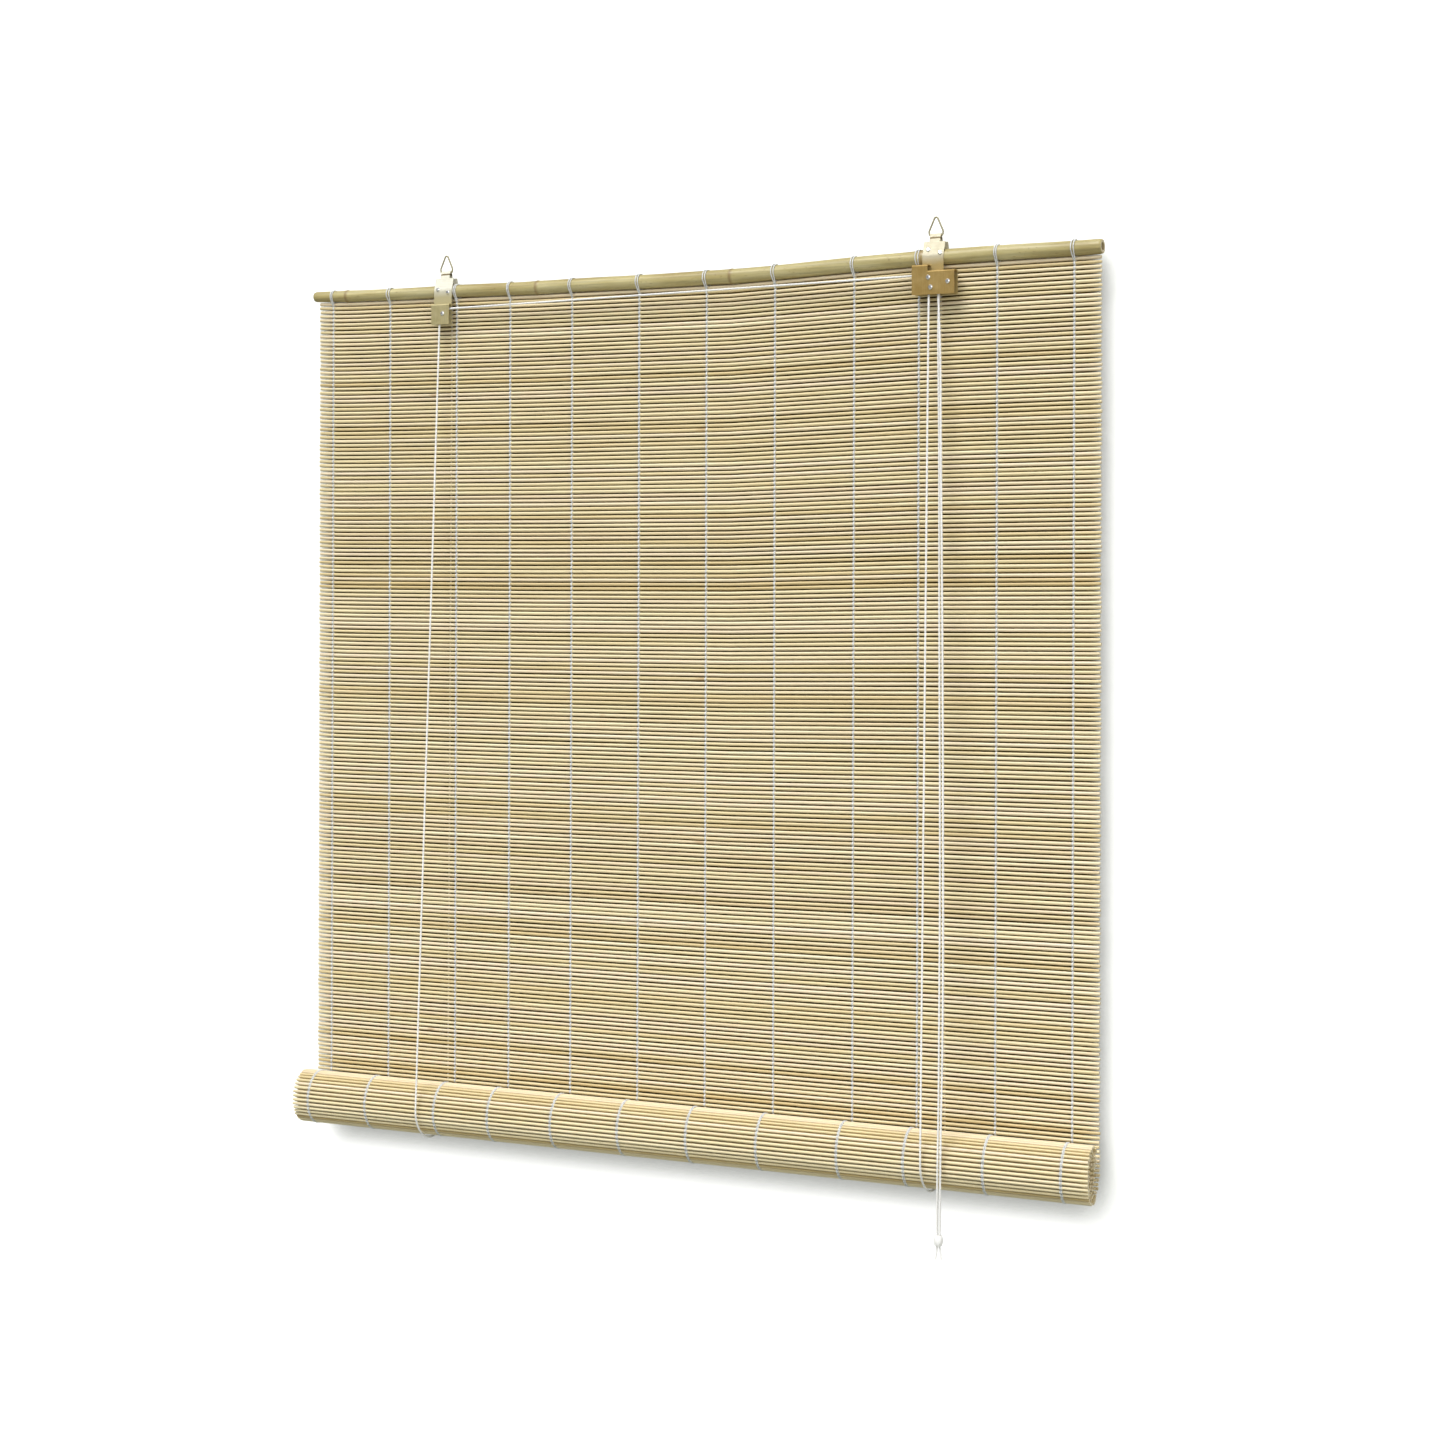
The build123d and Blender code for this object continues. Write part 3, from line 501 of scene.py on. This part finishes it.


# The last tuple paints shade: its dark tone below the bend, the bend's height, and the height of
# the crease where a shadow line is painted
strap_left = strap_material(
    "left", (0.70, 0.68, 0.56), (0.80, 0.78, 0.67), ((0.52, 0.46, 0.26), -0.044, -0.0249)
)
strap_right = strap_material(
    "right", (0.58, 0.53, 0.38), (0.68, 0.63, 0.48), ((0.44, 0.33, 0.13), -0.040, -0.0185)
)
case_brass = metal_material(
    "case_brass", (0.36, 0.235, 0.067), (0.455, 0.317, 0.115), 0.45, LENGTHWISE, 0.45
)
left_brass = metal_material(
    "left_case_brass", (0.45, 0.39, 0.19), (0.56, 0.49, 0.27), 0.45, LENGTHWISE, 0.45
)
wheel_brass = metal_material(
    "wheel_brass", (0.50, 0.38, 0.17), (0.62, 0.49, 0.25), 0.32, UPRIGHT
)
wire_metal = metal_material(
    "ring_wire", (0.36, 0.32, 0.20), (0.46, 0.42, 0.28), 0.45, ALL_WAYS, 0.4
)
head_metal = metal_material(
    "nail_heads", (0.86, 0.86, 0.86), (0.96, 0.96, 0.96), 0.18, ALL_WAYS, spread=0.05
)


# The frame's own metal pieces keep their shapes


def dress(material, *names):
    for name in names:
        nodes[name].data.materials.clear()
        nodes[name].data.materials.append(material)


dress(strap_left, "bracket_left")
dress(strap_right, "bracket_right")
dress(case_brass, "case_front_lock")
dress(left_brass, "case_front_left")
dress(wheel_brass, "pulley_left", "pulley_lock_upper", "pulley_lock_lower", "lock_cam")
dress(wire_metal, "ring_left", "ring_right")
dress(head_metal, "bracket_nails", "rivet_left", "rivets_lock")
dress(pole_wood, "foot_pole")
dress(cord_white, "tie_knots", "pull_knot")

# Head pole


def pole_at(x):
    """Height of the pole's axis and its radius at a distance along it, all in metres."""
    xs = [p[0] * MM for p in POLE_RUN]
    return (
        float(np.interp(x, xs, [p[1] * MM for p in POLE_RUN])),
        float(np.interp(x, xs, [p[2] * MM / 2 for p in POLE_RUN])),
    )


POLE_SIDES = 36
POLE_STEP = 2.4 * MM
POLE_END_ROUNDING = 0.7 * MM
POLE_WAVE, POLE_WAVE_RATE = 0.25 * MM, 37.0
# The bore at the left and right end: its radius, and its depth up to the wall in the bamboo
BORES = ((3.4 * MM, 40 * MM), (4.6 * MM, 60 * MM))
BORE_TONE = 0.8


def bell(distance, width):
    return math.exp(-((distance / width) ** 2))


def node_shape(off):
    """What a node adds to the pole's radius: a ridge, less a groove beside it, and a wide swell."""
    ridge = 0.55 * MM * bell(off, 1.6 * MM)
    groove = 0.25 * MM * bell(off - 3.2 * MM, 1.6 * MM)
    return ridge - groove + 0.35 * MM * bell(off, 9 * MM)


pole = Build()
pole_low, pole_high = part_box("head_pole")
pole_count = int((pole_high.x - pole_low.x) / POLE_STEP)
pole_rings = []
pole_tones = []
node_xs = [p[0] * MM for p in POLE_RUN[1:-1]]
for i in range(pole_count + 1):
    x = pole_low.x + (pole_high.x - pole_low.x) * i / pole_count
    z, r = pole_at(x)
    off = min((x - node_x for node_x in node_xs), key=abs)
    r += node_shape(off)
    z += POLE_WAVE * math.sin(x * POLE_WAVE_RATE)
    if i in (0, pole_count):
        r -= POLE_END_ROUNDING
    pole_rings.append(circle(x, 0.0, z, r, POLE_SIDES))
    pole_tones.append(bell(off, 3.0 * MM))


def bore(radius, *xs):
    return [circle(x, 0.0, pole_at(x)[0], radius, POLE_SIDES) for x in xs]


(left_radius, left_depth), (right_radius, right_depth) = BORES
bore_in = bore(left_radius, pole_low.x + left_depth, pole_low.x)
bore_out = bore(right_radius, pole_high.x, pole_high.x - right_depth)
pole.rings(bore_in + pole_rings + bore_out)
for i in (1, 2 + pole_count):
    pole.material[i * POLE_SIDES : (i + 1) * POLE_SIDES] = [1] * POLE_SIDES
head_pole = pole.done("head_pole_skin", [pole_wood, slat_end], "head")
tones = [BORE_TONE] * (2 * POLE_SIDES)
for value in pole_tones:
    tones += [value] * POLE_SIDES
tones += [BORE_TONE] * (len(head_pole.data.vertices) - len(tones))
head_pole.data.attributes["tone"].data.foreach_set("value", tones)
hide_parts("head_pole")

# Slats


FIRST_SLAT_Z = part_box("slats_held")[1].z - SLAT_RADIUS * math.sqrt(3) / 2
HANG_POWER = 1.3
ANY_PHASE = 6.28
END_TAPER = 0.72
# A slat grows thicker and thinner by this share, at this many radians a metre
DRIFT, DRIFT_RATE = 0.03, 23
pole_lowest = min(z - r for z, r in map(pole_at, np.linspace(-HALF_SHEET, HALF_SHEET, 81)))


def rise(x, z):
    """How far a slat at height z is lifted at x, as the sheet hangs from the pole's bow."""
    share = min(max((z - ROLL_Z) / (FIRST_SLAT_Z - ROLL_Z), 0), 1)
    axis_z, r = pole_at(x)
    return (axis_z - r - pole_lowest) * share**HANG_POWER


def slat_look():
    """Radius, tone and tint of one slat."""
    radius = SLAT_RADIUS * rng.uniform(0.92, 1.06)
    tone = min(max(rng.gauss(0.55, 0.10), 0.02), 0.98)
    return radius, tone, rng.random()


def waves():
    """A slat's own slight crookedness along its length."""
    parts = [
        (rng.uniform(0.02, 0.09) * MM, rng.uniform(5, 16), rng.uniform(0, ANY_PHASE))
        for _ in range(2)
    ]
    return lambda x: sum(a * math.sin(k * x + p) for a, k, p in parts)


def slat_rings(centre, radius, ends):
    """Rings of a slat along x, its centre given as (y, z) at each x, tapered in the last MM."""
    start, end = ends
    turn = rng.uniform(0, 1)
    steps = [start + (end - start) * i / SLAT_STEPS for i in range(SLAT_STEPS + 1)]
    rings = []
    for x in [steps[0], steps[0] + MM, *steps[1:-1], steps[-1] - MM, steps[-1]]:
        r = radius * (1 + DRIFT * math.sin(x * DRIFT_RATE + turn * ANY_PHASE))
        if x in ends:
            r *= END_TAPER
        rings.append(circle(x, *centre(x), r, SLAT_SIDES, turn))
    return rings


def slat_ends():
    """Where a slat starts and ends, cut a little unevenly."""
    return (
        -HALF_SHEET + rng.uniform(-0.6, 0.7) * MM,
        HALF_SHEET + rng.uniform(-0.7, 0.6) * MM,
    )


def hanging_slats(name, first, count):
    made = Build()
    for i in range(first, first + count):
        radius, tone, tint = slat_look()
        z0 = FIRST_SLAT_Z - i * SLAT_PITCH + (rng.uniform(-0.11, 0.11) * MM if i else 0)
        crook_z = waves()
        crook_y = waves()

        def centre(x):
            return crook_y(x), z0 + rise(x, z0) + crook_z(x)

        made.rings(slat_rings(centre, radius, slat_ends()), tone, tint, cap_material=1)
    return made.done(name, [slat_wood, slat_end], "head")


slats_top = hanging_slats("slats_held_round", 0, SLATS_HELD)
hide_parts("slats_held")
slats_low = hanging_slats("slats_taken_up_round", SLATS_HELD, SLATS_TAKEN_UP)
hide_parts("slats_taken_up")

# Roll: the same slats wound up, from the sheet's last one inwards

SECOND_TURN = 5.5
ROLLED_THINNER, INNER_THINNER = 0.97, 0.93
WIND_JITTER = 0.12 * MM


def roll_point(radius, turn):
    return ROLL_Y + radius * math.cos(turn), ROLL_Z - radius * math.sin(turn)


def wind_radius(turn):
    return WIND_RADIUS - WIND_PITCH * (turn - FIRST_TURN) / (2 * math.pi)


def creep(turn):
    """How far the turns lean along the roll: none at the back, most at the front."""
    return LEAN * (1 - math.cos(turn)) / 2


roll = Build()
turn = FIRST_TURN
radius = WIND_RADIUS
while radius - SLAT_RADIUS > CORE_RADIUS:
    r, tone, tint = slat_look()
    y0, z0 = roll_point(radius + rng.uniform(-WIND_JITTER, WIND_JITTER), turn)
    crook = waves()

    def centre(x):
        return y0 + 0.5 * crook(x), z0 + 0.5 * crook(-x)

    start, end = slat_ends()
    start += creep(turn) - 2 * MM * min(max(turn, 0), 1)
    if turn > SECOND_TURN:
        # Inner turns are thinner and step back towards the core at the right end
        r *= INNER_THINNER
        end -= (1.5 + 0.17 * (turn - SECOND_TURN)) * MM
    thickness = ROLLED_THINNER * min(r, SLAT_RADIUS)
    rings = slat_rings(centre, thickness, (start, end + creep(turn)))
    roll.rings(rings, tone, tint, cap_material=1)
    turn += SLAT_PITCH / radius
    radius = wind_radius(turn)
rolled = roll.done("rolled_slats_round", [slat_wood, slat_end], "roll")
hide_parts("rolled_slats")

# Warp threads: a front and a back strand that cross in every gap between two slats

THREAD_HALF_WIDTH = 1.2 * MM
THREAD_HALF_THICK = 0.42 * MM
THREAD_SWING = SLAT_RADIUS + 0.35 * MM
THREAD_WANDER = 0.12 * MM
ROLL_STRAND_HALF_WIDTH = 0.7 * MM
ROLL_STRAND_ASIDE = 0.8 * MM
ROLL_THREADS_END = 2 * math.pi * 1.02


def thread_swing(at):
    """How far a thread stands off the slats' middle, where at counts slats from a slat."""
    return THREAD_SWING * abs(math.cos(math.pi * at)) ** 0.7


def warp_threads(name, first, count):
    made = Build()
    for x in WARP_X:
        for front, steps, sides in ((1, 5, 6), (-1, 4, 4)):
            points = []
            for i in range(count * steps + 1):
                at = i / steps - 0.5
                z = FIRST_SLAT_Z - (first + at) * SLAT_PITCH
                aside = THREAD_WANDER * math.sin(at * 2.1 + x * 90)
                points.append((x + aside, -front * thread_swing(at), z + rise(x, z)))
            made.rings(sweep(points, ellipse(THREAD_HALF_WIDTH, THREAD_HALF_THICK, sides)))
    return made.done(name, [thread], "head")


warps_top = warp_threads("warp_threads_held", 0, SLATS_HELD)
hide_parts("warps_held")
warps_low = warp_threads("warp_threads_taken_up", SLATS_HELD, SLATS_TAKEN_UP)
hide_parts("warps_taken_up")

# Threads over the roll's outer turn, their two strands side by side
roll_threads = Build()
for x in WARP_X:
    lean = rng.uniform(-2.5, 2.5) * MM
    for aside in (-ROLL_STRAND_ASIDE, ROLL_STRAND_ASIDE):
        points = []
        turn = FIRST_TURN
        radius = WIND_RADIUS
        while turn < ROLL_THREADS_END:
            step = SLAT_PITCH / radius
            for part in range(5):
                at = part / 5 - 0.5
                t = turn + at * step
                y, z = roll_point(radius + thread_swing(at), t)
                points.append((x + aside + creep(t) + lean * max(t, 0) / 6.3, y, z))
            turn += step
            radius = wind_radius(turn)
        section = ellipse(ROLL_STRAND_HALF_WIDTH, THREAD_HALF_THICK, 6)
        roll_threads.rings(sweep(points, section))
roll_threads.done("warp_threads_on_roll", [thread], "roll")

# Lashings: two turns of thread round the pole and under the first slat at every warp
LASH_RADIUS = 0.7 * MM
LASH_SPREAD = 1.35 * MM
LASH_SPREAD_BELOW = 0.7 * MM
LASH_GAP = 0.1 * MM
lashings = Build()
for x in WARP_X:
    axis_z, r = pole_at(x)
    slat_z = FIRST_SLAT_Z + rise(x, FIRST_SLAT_Z)
    over = r + LASH_RADIUS + LASH_GAP
    under = SLAT_RADIUS + LASH_RADIUS + LASH_GAP
    for side in (-1, 1):
        lean = rng.uniform(-0.5, 0.5) * MM
        points = []
        for k in range(19):
            a = math.radians(-18 + k * 216 / 18)
            along = x + side * LASH_SPREAD + lean * math.cos(a)
            points.append((along, over * math.cos(a), axis_z + over * math.sin(a)))
        for k in range(7):
            a = math.radians(190 + k * 160 / 6)
            along = x + side * LASH_SPREAD_BELOW
            points.append((along, under * math.cos(a), slat_z + under * math.sin(a)))
        rings = sweep(points, ellipse(LASH_RADIUS, LASH_RADIUS, 8), closed=True)
        lashings.rings(rings, closed=True)
lashed = lashings.done("pole_lashing_threads", [thread], "head")
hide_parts("pole_lashings")

# Lift cords


# A laid cord's dips make it measure thinner than its strands' outer circle
STRANDS_OUT = 1.22


def laid(name, points, body, replaced):
    """A laid cord along the points, in place of the frame's plain one."""
    made = Build()
    line = even_points(points, 2.2 * MM)
    section = rope(STRANDS_OUT * CORD_RADIUS)
    made.rings(sweep(line, section, 2 * math.pi / CORD_LAY, across=(0.6, 0.8, 0.1)))
    obj = made.done(name, [cord_white], body)
    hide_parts(replaced)
    return obj


def mm(*values):
    return tuple(v * MM for v in values)


def arc(centre, radius, start, end, y, steps=10):
    """Points about a pulley, angles in degrees from +X towards +Z."""
    points = []
    for i in range(steps + 1):
        a = math.radians(start + (end - start) * i / steps)
        points.append((centre[0] + radius * math.cos(a), y, centre[1] + radius * math.sin(a)))
    return points


def wheel(joint):
    return joint_at[joint][0], joint_at[joint][2]


left_wheel = wheel("pulley_left_spin")
upper_wheel = wheel("pulley_upper_spin")
lower_wheel = wheel("pulley_lower_spin")
LEFT_GROOVE, UPPER_GROOVE, LOWER_GROOVE = mm(5.5, 3.3, 3.1)
LEFT_LANE, REAR_LANE, FRONT_LANE = mm(-11.05, -12.35, -15.65)
# Both cords bend down between the cam and its stop tongue, and leave the lock side by side
LOCKED_X = upper_wheel[0] + 10.4 * MM
EXIT_Z = upper_wheel[1] - 19.3 * MM
BEND = 3.0 * MM
REAR_BEND = (LOCKED_X - BEND, upper_wheel[1] - 9.08 * MM)
FRONT_BEND = (LOCKED_X - BEND, upper_wheel[1] - 12.44 * MM)
LOOP_RADIUS = 35.0 * MM
LOOP_END_DEG = 183
LOOP_X = {"left": -315.0 * MM, "right": 323.2 * MM}

# Where each cord stretch starts and ends comes from its solid's own box
for side in ("left", "right"):
    x = LOOP_X[side]
    low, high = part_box(f"lift_cord_{side}_back")
    top = (low.x + CORD_RADIUS, high.y - CORD_RADIUS, high.z)
    foot = (x, low.y + CORD_RADIUS, low.z)
    laid(f"lift_cord_{side}_back_laid", [top, foot], "head", f"lift_cord_{side}_back")
    low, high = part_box(f"lift_cord_{side}_front")
    top = (low.x + CORD_RADIUS, high.y - CORD_RADIUS, high.z)
    foot = (x, low.y + CORD_RADIUS, low.z)
    laid(f"lift_cord_{side}_front_laid", [foot, top], "head", f"lift_cord_{side}_front")
    loop = [(x, *roll_point(LOOP_RADIUS, math.radians(LOOP_END_DEG * i / 36))) for i in range(37)]
    laid(f"lift_cord_{side}_loop_laid", loop, "carriage", f"lift_cord_{side}_loop")
    if side == "left":
        head = [top]
        head += arc(left_wheel, LEFT_GROOVE, 180, 90, LEFT_LANE)
        head += arc(upper_wheel, UPPER_GROOVE, 90, 40, REAR_LANE, 6)
        head += arc(REAR_BEND, BEND, 40, 0, REAR_LANE, 5)
        head += [(LOCKED_X, REAR_LANE, EXIT_Z)]
    else:
        head = [top]
        head += arc(lower_wheel, LOWER_GROOVE, 180, 70, FRONT_LANE)
        head += arc(FRONT_BEND, BEND, 70, 0, FRONT_LANE, 7)
        head += [(LOCKED_X, FRONT_LANE, EXIT_Z)]
    laid(f"lift_cord_{side}_head_laid", head, "head", f"lift_cord_{side}_head")

# Free ends of the lift cords, each following its own smooth route


def route(name, points):
    """Points of a smooth line with the given control points."""
    curve = bpy.data.curves.new(name, "CURVE")
    curve.dimensions = "3D"
    curve.resolution_u = 24
    spline = curve.splines.new("NURBS")
    spline.points.add(len(points) - 1)
    for point, at in zip(spline.points, points):
        point.co = (*mm(*at), 1)
    spline.order_u = 3
    spline.use_endpoint_u = True
    holder = bpy.data.objects.new(name, curve)
    bpy.context.scene.collection.objects.link(holder)
    bpy.context.view_layer.update()
    depsgraph = bpy.context.evaluated_depsgraph_get()
    line = bpy.data.meshes.new_from_object(holder.evaluated_get(depsgraph))
    found = [tuple(v.co) for v in line.vertices]
    bpy.data.objects.remove(holder)
    return found


pull = {}
for side, points in (("left", PULL_CORD_LEFT), ("right", PULL_CORD_RIGHT)):
    line = route(f"pull_route_{side}", points)
    cord_piece = laid(f"pull_cord_{side}_laid", line, "head", f"pull_cord_{side}")
    pull[side] = (cord_piece, line)
for side in ("left", "right"):
    cord_piece, line = pull[side]

# What the roll takes up, and the cord stretches to it, each get a mesh of their own


def shorten(obj):
    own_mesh(obj)


shorten(slats_low)
shorten(warps_low)
for side in ("left", "right"):
    for part in ("front", "back"):
        obj = bpy.data.objects[f"lift_cord_{side}_{part}_laid"]
        shorten(obj)

# Stage

WALL_Y = 21 * MM
WALL_TOP = 3.0
FLOOR_Z = -1.65
STAGE_HALF = 6.0
COVE = 0.25
COVE_STEPS = 12

# The wall's shade is ambient occlusion over this distance, its normal leant up and left so that
# the shade falls below and to the right of the object
SHADE_REACH = 0.06
SHADE_NORMAL = {"X": -0.12, "Y": -0.50, "Z": 0.85}
# It is this many powers deeper behind the sheet at rest. Each edge goes from no more to all of it.
SHADE_DEPTH = 5.0
SHEET_EDGES = (
    ("X", -0.517, -0.511),
    ("X", 0.493, 0.468),
    ("Z", -0.034, -0.042),
    ("Z", -1.01, -0.95),
)


def stage_material():
    """Pale and plain, white to the camera away from the object, with painted shade near it, and
    clear from behind.
    """
    material = bpy.data.materials.new("stage")
    material.use_nodes = True
    tree = material.node_tree
    tree.nodes.clear()
    leant = node(tree, "ShaderNodeCombineXYZ", SHADE_NORMAL).outputs[0]
    shade = node(
        tree,
        "ShaderNodeAmbientOcclusion",
        {"Distance": SHADE_REACH, "Normal": leant},
        samples=8,
    ).outputs["AO"]
    # Painted shade: what is seen through the sheet's gaps stays dark as far as the sheet's edges
    axes = object_axes(tree)
    depth = SHADE_DEPTH
    for axis, low, high in SHEET_EDGES:
        depth = maths(tree, "MULTIPLY", map_range(tree, axes[axis], low, high), depth)
    shade = maths(tree, "POWER", shade, maths(tree, "ADD", depth, 1.0))
    # Painted shade in the wall's colour: warm dark brown where deepest, standing in for shadow and
    # light bounced off the bamboo, grey green where it thins
    color = ramp(tree, shade, [(0.15, (0.10, 0.065, 0.022)), (0.5, (0.36, 0.375, 0.34))])
    diffuse = node(tree, "ShaderNodeBsdfDiffuse", {"Color": color})
    # The camera's white glow is held back in the shade, so the painted shadow shows
    reach = ramp(tree, shade, [(0.36, 0.0), (0.68, 0.34), (0.93, 1.0)])
    seen = node(tree, "ShaderNodeLightPath").outputs["Is Camera Ray"]
    strength = maths(tree, "MULTIPLY", reach, seen)
    glow = node(tree, "ShaderNodeEmission", {"Color": (1, 1, 1, 1), "Strength": strength})
    lit = node(tree, "ShaderNodeAddShader", {0: diffuse.outputs[0], 1: glow.outputs[0]})
    clear = node(tree, "ShaderNodeBsdfTransparent")
    behind = node(tree, "ShaderNodeNewGeometry").outputs["Backfacing"]
    sides = {0: behind, 1: lit.outputs[0], 2: clear.outputs[0]}
    either = node(tree, "ShaderNodeMixShader", sides)
    node(tree, "ShaderNodeOutputMaterial", {0: either.outputs[0]})
    return material


profile = [(WALL_Y, WALL_TOP), (WALL_Y, FLOOR_Z + COVE)]
for i in range(1, COVE_STEPS):
    a = math.radians(90 * i / COVE_STEPS)
    profile.append((WALL_Y - COVE * (1 - math.cos(a)), FLOOR_Z + COVE * (1 - math.sin(a))))
profile += [(WALL_Y - COVE, FLOOR_Z), (-STAGE_HALF, FLOOR_Z)]
wall_verts = [(x, y, z) for y, z in profile for x in (-STAGE_HALF, STAGE_HALF)]
wall_faces = [(2 * i, 2 * i + 2, 2 * i + 3, 2 * i + 1) for i in range(len(profile) - 1)]
wall_mesh = bpy.data.meshes.new("wall_and_floor")
wall_mesh.from_pydata(wall_verts, [], wall_faces)
wall_mesh.materials.append(stage_material())
wall_mesh.update()
wall = bpy.data.objects.new("wall_and_floor", wall_mesh)
bpy.context.scene.collection.objects.link(wall)

# Light

SKY_STRENGTH = 0.62
world = bpy.data.worlds.new("studio")
world.use_nodes = True
bpy.context.scene.world = world
sky = world.node_tree
sky_at = node(sky, "ShaderNodeTexCoord").outputs["Generated"]
sky_up = node(sky, "ShaderNodeSeparateXYZ", {"Vector": sky_at}).outputs["Z"]
sky_color = ramp(
    sky,
    map_range(sky, sky_up, -0.6, 0.9),
    [(0.0, (0.05, 0.045, 0.04)), (0.45, 0.45), (1.0, 1.0)],
)
# The camera sees plain white past the ends of the stage
seen = node(sky, "ShaderNodeLightPath").outputs["Is Camera Ray"]
seen_color = mix(sky, seen, sky_color, (1.0, 1.0, 1.0))
seen_strength = map_range(sky, seen, 0.0, 1.0, (SKY_STRENGTH, 1.0))
background = sky.nodes["Background"]
sky.links.new(seen_color, background.inputs["Color"])
sky.links.new(seen_strength, background.inputs["Strength"])


def sun(name, towards, strength, spread):
    """A sun that shines towards the direction, its disc this many degrees wide."""
    light = bpy.data.lights.new(name, "SUN")
    light.energy = strength
    light.angle = math.radians(spread)
    lamp = bpy.data.objects.new(name, light)
    lamp.rotation_euler = Vector(towards).to_track_quat("-Z", "Y").to_euler()
    bpy.context.scene.collection.objects.link(lamp)


sun("key", (0.15, 0.56, -0.81), 2.8, 32)
sun("fill", (-0.80, 0.55, -0.25), 1.0, 60)

# Camera: nearly level, from the right, as solved from the photo

CAMERA_AT = (1.4065, -2.6875, -0.4227)
CAMERA_TURN = 26.794
CAMERA_ROLL = 0.153

camera_data = bpy.data.cameras.new("camera")
camera_data.sensor_width = 36
camera_data.lens = 66.46
camera_data.shift_y = -0.0773
camera = bpy.data.objects.new("camera", camera_data)
turned = Matrix.Rotation(math.radians(CAMERA_TURN), 4, "Z")
level = Matrix.Rotation(math.radians(90), 4, "X")
rolled_by = Matrix.Rotation(math.radians(CAMERA_ROLL), 4, "Z")
camera.matrix_world = Matrix.Translation(CAMERA_AT) @ turned @ level @ rolled_by
bpy.context.scene.collection.objects.link(camera)
bpy.context.scene.camera = camera
bpy.context.scene.view_settings.view_transform = "Standard"
